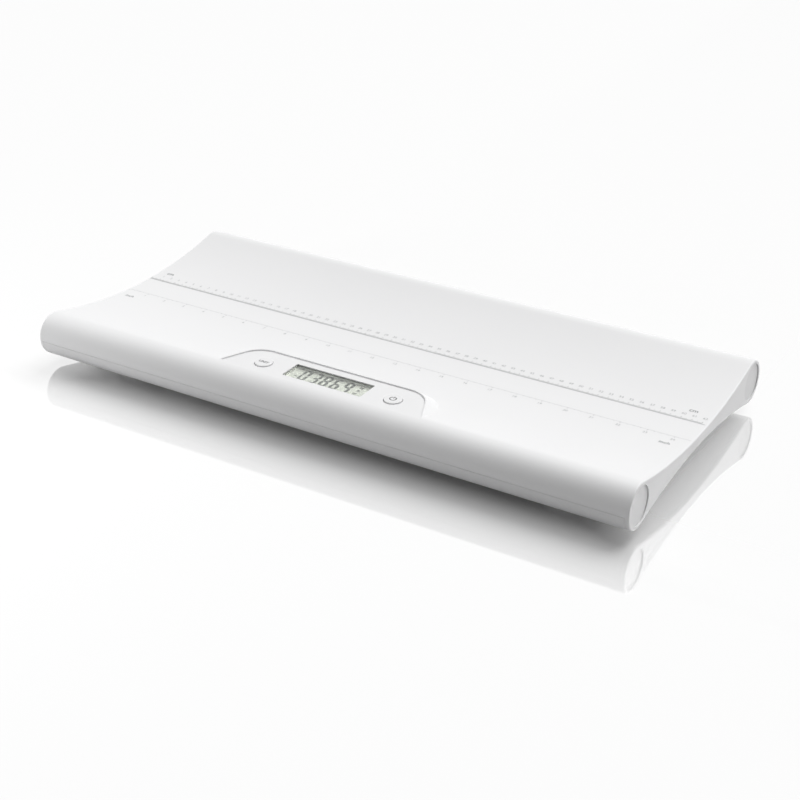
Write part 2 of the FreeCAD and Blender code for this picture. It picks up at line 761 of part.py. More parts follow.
def make_end_cap(label, side_x, side_y):
    """Round cap with a skirt, pressed into the end of a roll."""
    body = new_body(label)
    outside = f"({-side_x} * sizes.plug_recess)"
    inside = f"({-side_x} * (sizes.plug_recess + sizes.plug_plate))"
    end = f"({-side_x} * (sizes.plug_recess + sizes.plug_plate + sizes.plug_skirt_length))"
    skirt = "(sizes.plug_radius - sizes.plug_ledge - sizes.plug_gap)"
    profile = [
        (outside, "0"),
        (outside, "sizes.plug_radius"),
        (inside, "sizes.plug_radius"),
        (inside, skirt),
        (end, skirt),
        (end, f"({skirt} - sizes.plug_skirt_wall)"),
        (inside, f"({skirt} - sizes.plug_skirt_wall)"),
        (inside, "0"),
    ]
    revolve(body, outline_sketch(body, label + "_profile", "XZ_Plane", "0", profile), "H_Axis")
    return place(body, f"{side_x} * {HALF_LENGTH}", f"{side_y} * {ROLL_Y}", ROLL_Z)


# The bottom cover.

COVER_LENGTH = "(sizes.tray_length - 2 * (sizes.end_wall + sizes.cover_gap))"
BAY_HALF = "(sizes.cell_length + sizes.spring_length / 2 + sizes.contact_sheet)"
BAY_REACH = "(sizes.cell_pitch / 2 + sizes.cell_radius + sizes.cell_gap)"
BAY_CEILING = "(sizes.cell_height + sizes.cell_radius + sizes.cell_gap)"
BAY_FRONT = f"(sizes.bay_place + {BAY_REACH})"
BAY_REAR = f"(sizes.bay_place - {BAY_REACH})"
DOOR_HALF = f"({BAY_HALF} + sizes.door_lap)"
DOOR_FRONT = f"({BAY_FRONT} + sizes.door_lap - sizes.door_gap)"
HINGE_Y = f"({BAY_REAR} - sizes.hinge_inset)"
HINGE_Z = arch_height(HINGE_Y, "sizes.hinge_rise")


def cover_section(body):
    """Skin of the cover: the lower part of both rolls and the arched web between them."""
    sketch = new_sketch(body, "cover_section", "YZ_Plane")
    ends = []
    for inset in ("0", "sizes.wall"):
        rear_top = seam_angle(1, inset, "sizes.seam_height")
        front_top = seam_angle(-1, inset, "sizes.seam_height")
        rear = add_roll_arc(sketch, 1, inset, web_angle(1, "arch"), rear_top)
        front = add_roll_arc(sketch, -1, inset, front_top, web_angle(-1, "arch"))
        add_web_arc(sketch, "arch", inset, (front, 2), (rear, 1))
        bind(sketch, "sizes.seam_height", "DistanceY", -1, 1, rear, 2)
        bind(sketch, "sizes.seam_height", "DistanceY", -1, 1, front, 1)
        ends.append((rear, front))
    add_polyline(sketch, (ends[0][0], 2), (ends[1][0], 2), [])
    add_polyline(sketch, (ends[0][1], 1), (ends[1][1], 1), [])
    return sketch


def lip_outline(side):
    """Upright lip along the seam, inside the upper moulding's skin."""
    outer = f"(sizes.roll_radius - sizes.wall - sizes.lip_gap)"
    places = [
        (outer, "sizes.seam_height"),
        (outer, "sizes.seam_height + sizes.lip_height"),
        (f"({outer} - sizes.lip_wall)", "sizes.seam_height + sizes.lip_height"),
        (f"({outer} - sizes.lip_wall)", "sizes.seam_height - sizes.lip_height"),
        (f"({outer} + sizes.lip_wall)", "sizes.seam_height - sizes.lip_height"),
        (f"({outer} + sizes.lip_wall)", "sizes.seam_height"),
    ]
    return [(f"({side} * ({ROLL_Y} + {across}))", height) for across, height in places]


def add_battery_bay(body):
    """Thickened frame and walls of the battery bay, the bay itself and the door's rebate."""
    frame_front = f"({DOOR_FRONT} + sizes.door_gap + sizes.bay_frame_lap)"
    frame_rear = f"({HINGE_Y} - sizes.bay_frame_lap)"
    frame = web_band(frame_front, frame_rear, "(sizes.wall / 2)", "sizes.bay_frame")
    sketch = outline_sketch(body, "bay_frame", "YZ_Plane", "0", frame)
    pad(body, sketch, f"2 * ({DOOR_HALF} + sizes.bay_frame_lap)", symmetric=True)
    front, rear = f"({BAY_FRONT} + sizes.bay_wall)", f"({BAY_REAR} - sizes.bay_wall)"
    foot = "(sizes.wall / 2)"
    box = [
        (f"-{front}", arch_height(front, foot), f"({ARCH_RADIUS} + {foot})", -1),
        (f"-{rear}", arch_height(rear, foot)),
        (f"-{rear}", f"{BAY_CEILING} + sizes.bay_roof"),
        (f"-{front}", f"{BAY_CEILING} + sizes.bay_roof"),
    ]
    sketch = outline_sketch(body, "bay_box", "YZ_Plane", "0", box)
    pad(body, sketch, f"2 * ({BAY_HALF} + sizes.bay_wall)", symmetric=True)
    room = rectangle(f"-{BAY_HALF}", BAY_HALF, f"-{BAY_FRONT}", f"-{BAY_REAR}")
    pocket(body, rounded_sketch(body, "bay_room", "XY_Plane", BAY_CEILING, room), BAY_CEILING)
    sketch = new_sketch(body, "tab_slots", "XY_Plane", BAY_CEILING)
    for place_y in ("sizes.front_tab_place", "sizes.rear_tab_place"):
        reach = "(sizes.tab_width / 2 + sizes.tab_gap)"
        add_outline(sketch, [
            (f"(-{BAY_HALF} - sizes.tab_gap)", f"(-{place_y} - {reach})"),
            (f"(-{BAY_HALF} + sizes.contact_sheet + sizes.tab_gap)", f"(-{place_y} - {reach})"),
            (f"(-{BAY_HALF} + sizes.contact_sheet + sizes.tab_gap)", f"(-{place_y} + {reach})"),
            (f"(-{BAY_HALF} - sizes.tab_gap)", f"(-{place_y} + {reach})"),
        ])
    pocket(body, sketch, "sizes.bay_roof", backwards=True)
    recess = web_band(f"({DOOR_FRONT} + sizes.door_gap)", f"({HINGE_Y} - sizes.barrel_room)", "-1",
                      "(sizes.door_skin + sizes.door_gap)")
    sketch = outline_sketch(body, "door_rebate", "YZ_Plane", "0", recess)
    opening = f"2 * ({DOOR_HALF} + sizes.door_gap)"
    pocket(body, sketch, opening, symmetric=True)
    groove = [(f"-{HINGE_Y}", HINGE_Z, "sizes.barrel_room")]
    pocket(body, circle_sketch(body, "hinge_groove", "YZ_Plane", "0", groove), opening, symmetric=True)
    hole = [(f"-{HINGE_Y}", HINGE_Z, "(sizes.pin_radius + sizes.pin_gap)")]
    length = f"2 * ({DOOR_HALF} + sizes.pin_length + sizes.door_gap)"
    pocket(body, circle_sketch(body, "pin_holes", "YZ_Plane", "0", hole), length, symmetric=True)


def foot_circles(radius, inwards="0"):
    """The four feet as circles, or circles moved from them towards the middle of the tray."""
    circles = []
    for side_x in (-1, 1):
        for side_y in (-1, 1):
            circles.append((f"({side_x} * (sizes.foot_x - {inwards}))", f"({side_y} * sizes.foot_y)", radius))
    return circles


def add_foot_cups(body):
    """Round cups that guide the feet, with a roof that takes the load and a hole for the leads."""
    cups = circle_sketch(body, "cups", "XY_Plane", "sizes.cup_bottom",
                         foot_circles("(sizes.cup_radius + sizes.cup_wall)"))
    pad(body, cups, "sizes.cup_ceiling + sizes.cup_roof - sizes.cup_bottom")
    rooms = foot_circles("sizes.cup_radius")
    room_sketch = circle_sketch(body, "cup_rooms", "XY_Plane", "sizes.cup_ceiling", rooms)
    pocket(body, room_sketch, "sizes.cup_ceiling")
    holes = foot_circles("(sizes.lead_radius + sizes.lead_hole_gap)", "sizes.lead_offset")
    sketch = circle_sketch(body, "lead_holes", "XY_Plane", "sizes.cup_ceiling", holes)
    pocket(body, sketch, "sizes.cup_roof", backwards=True)


def add_pillars(body):
    """Hollow pillars for the housing screws, which go in from below."""
    start = arch_height("(sizes.screw_y - sizes.boss_radius)", "sizes.pillar_rise")
    pillars = circle_sketch(body, "pillars", "XY_Plane", start, screw_places("sizes.boss_radius"))
    pad(body, pillars, f"sizes.boss_joint - {start}")
    heads = screw_places("(sizes.screw_head_radius + sizes.screw_room)")
    pocket(body, circle_sketch(body, "head_bores", "XY_Plane", "sizes.screw_seat", heads), "sizes.screw_seat")
    shanks = screw_places("(sizes.screw_radius + sizes.screw_room / 2)")
    sketch = circle_sketch(body, "shank_bores", "XY_Plane", "sizes.screw_seat", shanks)
    pocket(body, sketch, "sizes.boss_joint - sizes.screw_seat", backwards=True)


def make_bottom_cover():
    body = new_body("bottom_cover")
    pad(body, cover_section(body), COVER_LENGTH, symmetric=True)
    lips = new_sketch(body, "lips", "YZ_Plane")
    add_outline(lips, lip_outline(-1))
    add_outline(lips, lip_outline(1))
    pad(body, lips, COVER_LENGTH, symmetric=True)
    add_foot_cups(body)
    add_pillars(body)
    add_battery_bay(body)
    return body


# Simple solids.


def box(label, x, y, z, length, width, height):
    """Block with its lowest corner at x, y, z."""
    block = doc.addObject("Part::Box", label)
    block.Label = label
    block.setExpression("Length", str(length))
    block.setExpression("Width", str(width))
    block.setExpression("Height", str(height))
    return place(block, x, y, z)


def cylinder(label, x, y, z, radius, height, direction=(0, 0, 1)):
    rod = doc.addObject("Part::Cylinder", label)
    rod.Label = label
    rod.setExpression("Radius", str(radius))
    rod.setExpression("Height", str(height))
    turn = FreeCAD.Rotation(FreeCAD.Vector(0, 0, 1), FreeCAD.Vector(*direction))
    rod.Placement = FreeCAD.Placement(FreeCAD.Vector(), turn)
    return place(rod, x, y, z)


def fused(label, pieces):
    union = doc.addObject("Part::MultiFuse", label)
    union.Label = label
    union.Shapes = pieces
    return union


def grouped(label, pieces):
    """Separate solids that share one node."""
    group = doc.addObject("Part::Compound", label)
    group.Label = label
    group.Links = pieces
    return group


# The console: display, buttons and electronics.

WINDOW_FRONT = "(sizes.window_rear + sizes.window_depth)"
SWITCH_TOP = "(sizes.board_top + sizes.switch_thickness)"
PLUNGER_BOTTOM = f"({SWITCH_TOP} - sizes.plunger_depth)"
STEM_BOTTOM = f"({CONSOLE_SKIN_Z} - sizes.button_flange - sizes.stem_reach)"


def window_block(label, lap, z, height):
    """Block as large as the display window and a lap on every side."""
    return box(
        label,
        f"-(sizes.window_width / 2 + {lap})",
        f"-({WINDOW_FRONT} + {lap})",
        z,
        f"sizes.window_width + 2 * {lap}",
        f"sizes.window_depth + 2 * {lap}",
        height,
    )


def make_display_window():
    return window_block("display_window", "sizes.lens_lap", CONSOLE_SKIN_Z, "sizes.wall - sizes.window_rim")


def make_lcd_panel():
    bottom = f"({CONSOLE_SKIN_Z} - sizes.glass_gap - sizes.glass_thickness)"
    return window_block("lcd_panel", "sizes.glass_lap", bottom, "sizes.glass_thickness")


def make_lcd_holder():
    """Frame around the display panel, standing on the board, with a lip over the panel's edges."""
    body = new_body("lcd_holder")
    room = "(sizes.glass_lap + sizes.holder_gap)"
    height = f"{CONSOLE_SKIN_Z} - sizes.holder_gap - sizes.board_top"
    for name, lap, depth, cut in (
        ("holder", f"({room} + sizes.holder_wall)", height, False),
        ("panel_room", room, f"{CONSOLE_SKIN_Z} - sizes.glass_gap - sizes.board_top", True),
        ("view", "0", height, True),
    ):
        half = f"(sizes.window_width / 2 + {lap})"
        front, rear = f"({WINDOW_FRONT} + {lap})", f"(sizes.window_rear - {lap})"
        outline = rectangle(f"-{half}", half, f"-{front}", f"-{rear}")
        sketch = rounded_sketch(body, name, "XY_Plane", "sizes.board_top", outline)
        if cut:
            pocket(body, sketch, depth, backwards=True)
        else:
            pad(body, sketch, depth)
    return body


def make_connector_strips():
    """Two rubber strips that join the display panel to the board."""
    height = f"{CONSOLE_SKIN_Z} - sizes.glass_gap - sizes.glass_thickness - sizes.board_top"
    inset = "(sizes.glass_lap - sizes.holder_gap)"
    strips = []
    for name, y in (
        ("rear_strip", f"-(sizes.window_rear - {inset} + sizes.strip_width)"),
        ("front_strip", f"-({WINDOW_FRONT} + {inset})"),
    ):
        strips.append(box(name, "-sizes.strip_length / 2", y, "sizes.board_top",
                          "sizes.strip_length", "sizes.strip_width", height))
    return grouped("lcd_connector_strips", strips)


def make_main_board():
    body = new_body("main_board")
    half = "(sizes.board_width / 2)"
    front, rear = "-(sizes.board_rear + sizes.board_depth)", "-sizes.board_rear"
    outline = rectangle(f"-{half}", half, front, rear, "sizes.board_corner")
    sketch = rounded_sketch(body, "board", "XY_Plane", "sizes.board_top", outline)
    pad(body, sketch, "sizes.board_thickness", backwards=True)
    holes = board_screw_places("sizes.board_hole")
    hole_sketch = circle_sketch(body, "board_holes", "XY_Plane", "sizes.board_top", holes)
    pocket(body, hole_sketch, "sizes.board_thickness")
    return body


def make_board_components():
    """Chips, a crystal and two capacitors under the board."""
    underside = "(sizes.board_top - sizes.board_thickness)"
    middle = "(sizes.board_rear + sizes.board_depth * 2 / 3)"
    chip, chip_height = "sizes.chip_side", "sizes.chip_height"
    pieces = [
        box("controller_chip", f"{chip}", f"-{middle} - {chip} / 2", f"{underside} - {chip_height}",
            chip, chip, chip_height),
        box("converter_chip", f"-2 * {chip}", f"-{middle} - {chip} / 4", f"{underside} - {chip_height}",
            chip, f"{chip} / 2", chip_height),
        box("crystal", f"-{chip} / 4", f"-{middle} - {chip} / 2", f"{underside} - 2 * {chip_height}",
            f"{chip} / 3", chip, f"2 * {chip_height}"),
    ]
    for side in (-1, 1):
        pieces.append(cylinder(
            "left_capacitor" if side < 0 else "right_capacitor",
            f"{side} * 3 * {chip}",
            f"-{middle}",
            f"{underside} - 2 * {chip_height}",
            "sizes.capacitor_radius",
            f"2 * {chip_height}",
        ))
    return grouped("board_components", pieces)


def make_lead_connectors():
    """Two plug blocks under the board, where the sensor leads end."""
    blocks = []
    for name, x in (
        ("left_connector", "-sizes.plug_block_x"),
        ("right_connector", "sizes.plug_block_x - sizes.plug_block_width"),
    ):
        blocks.append(box(
            name,
            x,
            "-sizes.board_rear - sizes.plug_block_depth",
            "sizes.board_top - sizes.board_thickness - sizes.plug_block_height",
            "sizes.plug_block_width",
            "sizes.plug_block_depth",
            "sizes.plug_block_height",
        ))
    return grouped("lead_connectors", blocks)


def make_button_switches():
    """Two small push switches on the board, each with a bore for its plunger."""
    switches = []
    for side, name in ((-1, "unit_switch"), (1, "power_switch")):
        body = new_body(name)
        half = "sizes.switch_width / 2"
        x = f"{side} * sizes.button_spacing / 2"
        outline = rectangle(f"({x} - {half})", f"({x} + {half})", f"(-sizes.button_place - {half})",
                            f"(-sizes.button_place + {half})")
        pad(body, rounded_sketch(body, name + "_case", "XY_Plane", "sizes.board_top", outline),
            "sizes.switch_thickness")
        bore = [(f"({x})", "-sizes.button_place", "(sizes.plunger_radius + sizes.plunger_gap)")]
        pocket(body, circle_sketch(body, name + "_bore", "XY_Plane", SWITCH_TOP, bore),
               "sizes.plunger_depth + sizes.plunger_room")
        switches.append(body)
    return grouped("button_switches", switches)


def make_plunger(label, side):
    return cylinder(label, f"{side} * sizes.button_spacing / 2", "-sizes.button_place", PLUNGER_BOTTOM,
                    "sizes.plunger_radius", f"{STEM_BOTTOM} - {PLUNGER_BOTTOM}")


def make_button(label, side):
    """Round button with a flange that the console's skin holds down, and a stem on the switch."""
    body = new_body(label)
    top = "(sizes.console_height + sizes.button_rise)"
    flange = "(sizes.button_radius + sizes.button_gap + sizes.button_lap)"
    flange_bottom = f"({CONSOLE_SKIN_Z} - sizes.button_flange)"
    inner = "(sizes.button_radius - sizes.button_skin)"
    ceiling = f"({top} - sizes.button_skin)"
    profile = [
        ("0", STEM_BOTTOM),
        ("sizes.button_stem_radius", STEM_BOTTOM),
        ("sizes.button_stem_radius", ceiling),
        (inner, ceiling),
        (inner, flange_bottom),
        (flange, flange_bottom),
        (flange, CONSOLE_SKIN_Z),
        ("sizes.button_radius", CONSOLE_SKIN_Z),
        ("sizes.button_radius", f"({top} - sizes.button_edge)", "sizes.button_edge", 1),
        ("(sizes.button_radius - sizes.button_edge)", top),
        ("0", top),
    ]
    revolve(body, outline_sketch(body, label + "_profile", "XZ_Plane", "0", profile))
    return place(body, f"{side} * sizes.button_spacing / 2", "-sizes.button_place")


# The battery bay's contents.


def cell_row(side):
    """Place of a battery row: the front row is side -1."""
    return f"(-sizes.bay_place + {side} * sizes.cell_pitch / 2)"


def make_battery(label, side, number_in_row):
    """Battery with its contact nub; the front row points to +X, the rear row to -X."""
    body = new_body(label)
    case = "(sizes.cell_length - sizes.cell_nub)"
    steps = (
        ("case", "0", "sizes.cell_radius", case),
        ("nub", case, "sizes.cell_nub_radius", "sizes.cell_nub"),
    )
    for name, start, radius, length in steps:
        offset = start if side < 0 else f"-{start}"
        sketch = circle_sketch(body, f"{label}_{name}", "YZ_Plane", offset, [("0", "0", radius)])
        pad(body, sketch, length, backwards=side > 0)
    first = f"(-{BAY_HALF} + sizes.contact_sheet + sizes.spring_length + {number_in_row} * sizes.cell_length)"
    x = first if side < 0 else f"-{first}"
    return place(body, x, cell_row(side), "sizes.cell_height")


def coil_shape():
    """Coil spring along +Z from the origin, bent from straight stretches of six-sided wire."""
    radius, wire = number("sizes.spring_radius"), number("sizes.spring_wire")
    sides = number("sizes.spring_sides")
    count = round(number("sizes.spring_turns") * sides)
    rise = number("sizes.spring_length - 2 * sizes.spring_wire") / count
    points = []
    for index in range(count + 1):
        angle = 2 * math.pi * index / sides
        points.append(FreeCAD.Vector(radius * math.cos(angle), radius * math.sin(angle), wire + rise * index))
    way = (points[1] - points[0]).normalize()
    outward = FreeCAD.Vector(1, 0, 0)
    corners = []
    for index in range(7):
        angle = 2 * math.pi * index / 6
        offset = outward * math.cos(angle) + way.cross(outward) * math.sin(angle)
        corners.append(points[0] + offset * wire)
    pipe = Part.BRepOffsetAPI.MakePipeShell(Part.makePolygon(points))
    pipe.setTransitionMode(1)
    pipe.add(Part.makePolygon(corners))
    pipe.build()
    pipe.makeSolid()
    return pipe.shape()


def make_battery_springs():
    """Two coil springs that press on the flat ends of the rows."""
    springs = []
    for side, name in ((-1, "left_spring"), (1, "right_spring")):
        spring = doc.addObject("Part::Feature", name)
        spring.Shape = coil_shape()
        turn = FreeCAD.Rotation(FreeCAD.Vector(0, 0, 1), FreeCAD.Vector(-side, 0, 0))
        spring.Placement = FreeCAD.Placement(FreeCAD.Vector(), turn)
        x = f"{side} * ({BAY_HALF} - sizes.contact_sheet)"
        springs.append(place(spring, x, cell_row(side), "sizes.cell_height"))
    return grouped("battery_springs", springs)


def make_battery_contacts():
    """Sheet contacts: two at the left with tabs up to the board, and one bridge at the right."""
    sheet_width = "(2 * sizes.contact_reach)"
    bottom = "(sizes.cell_height - sizes.contact_reach)"
    underside = "(sizes.board_top - sizes.board_thickness)"
    contacts = []
    for side, name, tab_place in (
        (-1, "front_contact", "sizes.front_tab_place"),
        (1, "rear_contact", "sizes.rear_tab_place"),
    ):
        plate = box(name + "_plate", f"-{BAY_HALF}", f"{cell_row(side)} - sizes.contact_reach", bottom,
                    "sizes.contact_sheet", sheet_width, sheet_width)
        tab = box(name + "_tab", f"-{BAY_HALF}", f"-{tab_place} - sizes.tab_width / 2", "sizes.cell_height",
                  "sizes.contact_sheet", "sizes.tab_width", f"{underside} - sizes.cell_height")
        contacts.append(fused(name, [plate, tab]))
    contacts.append(box("bridge_contact", f"{BAY_HALF} - sizes.contact_sheet",
                        f"{cell_row(-1)} - sizes.contact_reach", bottom, "sizes.contact_sheet",
                        f"sizes.cell_pitch + {sheet_width}", sheet_width))
    return grouped("battery_contacts", contacts)


def make_battery_door():
    """Door that lies in the cover's underside and turns on two pins."""
    body = new_body("battery_door")
    skin = web_band(DOOR_FRONT, HINGE_Y, "0", "sizes.door_skin")
    pad(body, outline_sketch(body, "door_skin", "YZ_Plane", "0", skin), f"2 * {DOOR_HALF}", symmetric=True)
    for name, radius, length in (
        ("barrel", "sizes.barrel_radius", f"2 * {DOOR_HALF}"),
        ("pins", "sizes.pin_radius", f"2 * ({DOOR_HALF} + sizes.pin_length)"),
    ):
        circle = [(f"-{HINGE_Y}", HINGE_Z, radius)]
        pad(body, circle_sketch(body, name, "YZ_Plane", "0", circle), length, symmetric=True)
    foot = "(sizes.door_skin / 2)"
    front, rear = "(sizes.bay_place + sizes.cradle_reach)", "sizes.bay_place"
    top = "(sizes.cell_height - sizes.cell_radius - sizes.door_gap)"
    cradle = [
        (f"-{front}", arch_height(front, foot)),
        (f"-{rear}", arch_height(rear, foot)),
        (f"-{rear}", top),
        (f"-{front}", top),
    ]
    for name, x in (
        ("left_outer", "-1.5"), ("left_inner", "-0.5"), ("right_inner", "0.5"), ("right_outer", "1.5")
    ):
        offset = f"{x} * sizes.cell_length / 2"
        sketch = outline_sketch(body, name + "_cradle", "YZ_Plane", offset, cradle)
        pad(body, sketch, "sizes.cradle_wall", symmetric=True)
    cut_finger_grip(body)
    return body


def cut_finger_grip(body):
    """Three shallow grooves near the door's free edge."""
    sketch = new_sketch(body, "grip_grooves", "YZ_Plane")
    for step in (1, 2, 3):
        place_y = f"({DOOR_FRONT} - {step} * sizes.grip_pitch)"
        near, far = f"-({place_y} + sizes.grip_groove / 2)", f"-({place_y} - sizes.grip_groove / 2)"
        low, high = f"({arch_height(place_y)} - sizes.grip_groove)", arch_height(place_y, "sizes.grip_depth")
        add_outline(sketch, [(near, low), (far, low), (far, high), (near, high)])
    pocket(body, sketch, "sizes.grip_width", symmetric=True)


# The feet with their load cells.

CORNERS = (("front_left", -1, -1), ("front_right", 1, -1), ("rear_left", -1, 1), ("rear_right", 1, 1))


def at_foot(item, side_x, side_y):
    return place(item, f"{side_x} * sizes.foot_x", f"{side_y} * sizes.foot_y")


def make_foot_pad(label, side_x, side_y):
    body = new_body(label)
    profile = [
        ("0", "0"),
        ("(sizes.pad_radius - sizes.pad_edge)", "0", "sizes.pad_edge", 1),
        ("sizes.pad_radius", "sizes.pad_edge"),
        ("sizes.pad_radius", "(sizes.pad_rise + sizes.pad_sunk)"),
        ("0", "(sizes.pad_rise + sizes.pad_sunk)"),
    ]
    revolve(body, outline_sketch(body, label + "_profile", "XZ_Plane", "0", profile))
    return at_foot(body, side_x, side_y)


def make_foot(label, side_x, side_y):
    """Dish-shaped foot: its post pushes on the load cell's tongue."""
    body = new_body(label)
    recess = "(sizes.pad_rise + sizes.pad_sunk)"
    floor = f"({recess} + sizes.foot_floor)"
    profile = [
        ("0", recess),
        ("(sizes.pad_radius + sizes.pad_gap)", recess),
        ("(sizes.pad_radius + sizes.pad_gap)", "sizes.pad_rise"),
        ("sizes.foot_base_radius", "sizes.pad_rise"),
        ("sizes.foot_radius", floor),
        ("sizes.foot_radius", "sizes.foot_rim"),
        ("(sizes.foot_radius - sizes.foot_floor)", "sizes.foot_rim"),
        ("(sizes.foot_radius - sizes.foot_floor)", floor),
        ("sizes.foot_post_radius", floor),
        ("sizes.foot_post_radius", "sizes.load_cell_height"),
        ("0", "sizes.load_cell_height"),
    ]
    revolve(body, outline_sketch(body, label + "_profile", "XZ_Plane", "0", profile))
    return at_foot(body, side_x, side_y)


def make_load_cell(label, side_x, side_y):
    """Square steel spring plate with a U-shaped slot that leaves a tongue free to bend."""
    body = new_body(label)
    half = "(sizes.load_cell_side / 2)"
    outline = rectangle(f"-{half}", half, f"-{half}", half, "sizes.load_cell_corner")
    sketch = rounded_sketch(body, label + "_plate", "XY_Plane", "sizes.load_cell_height", outline)
    pad(body, sketch, "sizes.load_cell_thickness")
    tongue = "(sizes.load_cell_tongue / 2)"
    slot = f"({tongue} + sizes.load_cell_slot)"
    reach, end = f"(2 * {tongue})", f"(2 * {tongue} - sizes.load_cell_slot)"
    slot_outline = [
        (f"-{slot}", f"-{reach}"),
        (f"-{tongue}", f"-{reach}"),
        (f"-{tongue}", end),
        (tongue, end),
        (tongue, f"-{reach}"),
        (slot, f"-{reach}"),
        (slot, reach),
        (f"-{slot}", reach),
    ]
    sketch = outline_sketch(body, label + "_slot", "XY_Plane", "sizes.load_cell_height", slot_outline)
    pocket(body, sketch, "sizes.load_cell_thickness", backwards=True)
    return at_foot(body, side_x, side_y)


def make_load_cell_holder(label, side_x, side_y):
    """Disc under the cup's roof with a square socket for the load cell."""
    body = new_body(label)
    bottom, top = "sizes.load_cell_height", "(sizes.load_cell_height + sizes.load_cell_thickness)"
    disc = [("0", "0", "(sizes.cup_radius - sizes.holder_side_gap)")]
    pad(body, circle_sketch(body, label + "_disc", "XY_Plane", bottom, disc), f"sizes.cup_ceiling - {bottom}")
    half = "(sizes.load_cell_side / 2 + sizes.socket_gap)"
    socket = rectangle(f"-{half}", half, f"-{half}", half, "sizes.load_cell_corner")
    sketch = rounded_sketch(body, label + "_socket", "XY_Plane", bottom, socket)
    pocket(body, sketch, "sizes.load_cell_thickness", backwards=True)
    relief = circle_sketch(body, label + "_relief", "XY_Plane", top, [("0", "0", "sizes.socket_relief")])
    pocket(body, relief, "sizes.socket_relief_depth", backwards=True)
    channel = [(f"({-side_x} * sizes.lead_offset)", "0", "(sizes.lead_radius + sizes.lead_hole_gap)")]
    sketch = circle_sketch(body, label + "_channel", "XY_Plane", top, channel)
    pocket(body, sketch, f"sizes.cup_ceiling - {top}", backwards=True)
    return at_foot(body, side_x, side_y)


# Screws and leads.


def cross_recess(label, x, y, bottom, reach):
    """Two crossed bars, to be cut out of a screw's head from below."""
    bars = []
    for name, length, width in (
        ("long_bar", f"({reach})", "sizes.cross_width"),
        ("cross_bar", "sizes.cross_width", f"({reach})"),
    ):
        bars.append(box(f"{label}_{name}", f"{x} - {length} / 2", f"{y} - {width} / 2", bottom,
                        length, width, "sizes.cross_depth"))
    return fused(label + "_recess", bars)


def make_screws(label, places, seat, head_radius, head, radius, length):
    """Screws that point up, with the underside of their heads at the seat."""
    screws = []
    for index, (x, y, _) in enumerate(places, 1):
        name = f"{label}_{index}"
        pieces = [
            cylinder(name + "_head", x, y, f"{seat} - {head}", head_radius, head),
            cylinder(name + "_shank", x, y, seat, radius, length),
        ]
        screw = doc.addObject("Part::Cut", name)
        screw.Base = fused(name + "_blank", pieces)
        screw.Tool = cross_recess(name, x, y, f"{seat} - {head}", f"{head_radius} * 4 / 3")
        screws.append(screw)
    return grouped(label, screws)


def make_housing_screws():
    return make_screws(
        "housing_screws",
        screw_places("0"),
        "sizes.screw_seat",
        "sizes.screw_head_radius",
        "sizes.screw_head",
        "sizes.screw_radius",
        "sizes.screw_length",
    )


def make_board_screws():
    return make_screws(
        "board_screws",
        board_screw_places("0"),
        "(sizes.board_top - sizes.board_thickness)",
        "sizes.board_screw_head_radius",
        "sizes.board_screw_head",
        "sizes.board_screw_radius",
        "sizes.board_screw_length",
    )


def run_direction(start, end):
    """Unit direction of a straight run; runs lie along the frame's axes."""
    steps = [number(f"({last}) - ({first})") for first, last in zip(start, end)]
    size = max(abs(step) for step in steps)
    return [round(step / size) for step in steps]


def moved(point, direction, distance):
    return [f"({at} + {step} * {distance})" if step else at for at, step in zip(point, direction)]


def make_lead(label, points):
    """Round lead of straight runs, joined by quarter bends."""
    bend = "sizes.lead_bend"
    pieces = []
    ways = [run_direction(start, end) for start, end in zip(points, points[1:])]
    for index, way in enumerate(ways):
        start = points[index] if index == 0 else moved(points[index], way, bend)
        axis = [abs(step) for step in way].index(1)
        ends = (index > 0) + (index < len(ways) - 1)
        length = f"{way[axis]} * ({points[index + 1][axis]} - {points[index][axis]}) - {ends} * {bend}"
        pieces.append(cylinder(f"{label}_run_{index}", *start, "sizes.lead_radius", length, way))
    for index in range(1, len(ways)):
        before, after = FreeCAD.Vector(*ways[index - 1]), FreeCAD.Vector(*ways[index])
        curve = doc.addObject("Part::Torus", f"{label}_bend_{index}")
        curve.setExpression("Radius1", bend)
        curve.setExpression("Radius2", "sizes.lead_radius")
        curve.Angle3 = 90
        turn = FreeCAD.Rotation(after * -1, before, before.cross(after), "XYZ")
        curve.Placement = FreeCAD.Placement(FreeCAD.Vector(), turn)
        centre = moved(moved(points[index], ways[index - 1], f"-{bend}"), ways[index], bend)
        pieces.append(place(curve, *centre))
    return fused(label, pieces)


def make_sensor_leads():
    """One lead per load cell, up through its cup and along the inside to the connectors."""
    start_z = "(sizes.load_cell_height + sizes.load_cell_thickness)"
    block_bottom = "(sizes.board_top - sizes.board_thickness - sizes.plug_block_height)"
    leads = []
    for name, side_x, side_y in CORNERS:
        x = f"({side_x} * (sizes.foot_x - sizes.lead_offset))"
        y = f"({side_y} * sizes.foot_y)"
        points = [[x, y, start_z]]
        if side_y < 0:
            points.append([x, y, "sizes.front_lead_height"])
            points.append([f"({side_x} * sizes.plug_block_x)", y, "sizes.front_lead_height"])
        else:
            entry = f"({side_x} * (sizes.plug_block_x - sizes.plug_block_width / 2))"
            points.append([x, y, "sizes.rear_lead_height"])
            points.append([x, "-sizes.rear_lead_place", "sizes.rear_lead_height"])
            points.append([entry, "-sizes.rear_lead_place", "sizes.rear_lead_height"])
            points.append([entry, "-sizes.rear_lead_place", block_bottom])
        leads.append(make_lead(f"sensor_lead_{name}", points))
    return leads


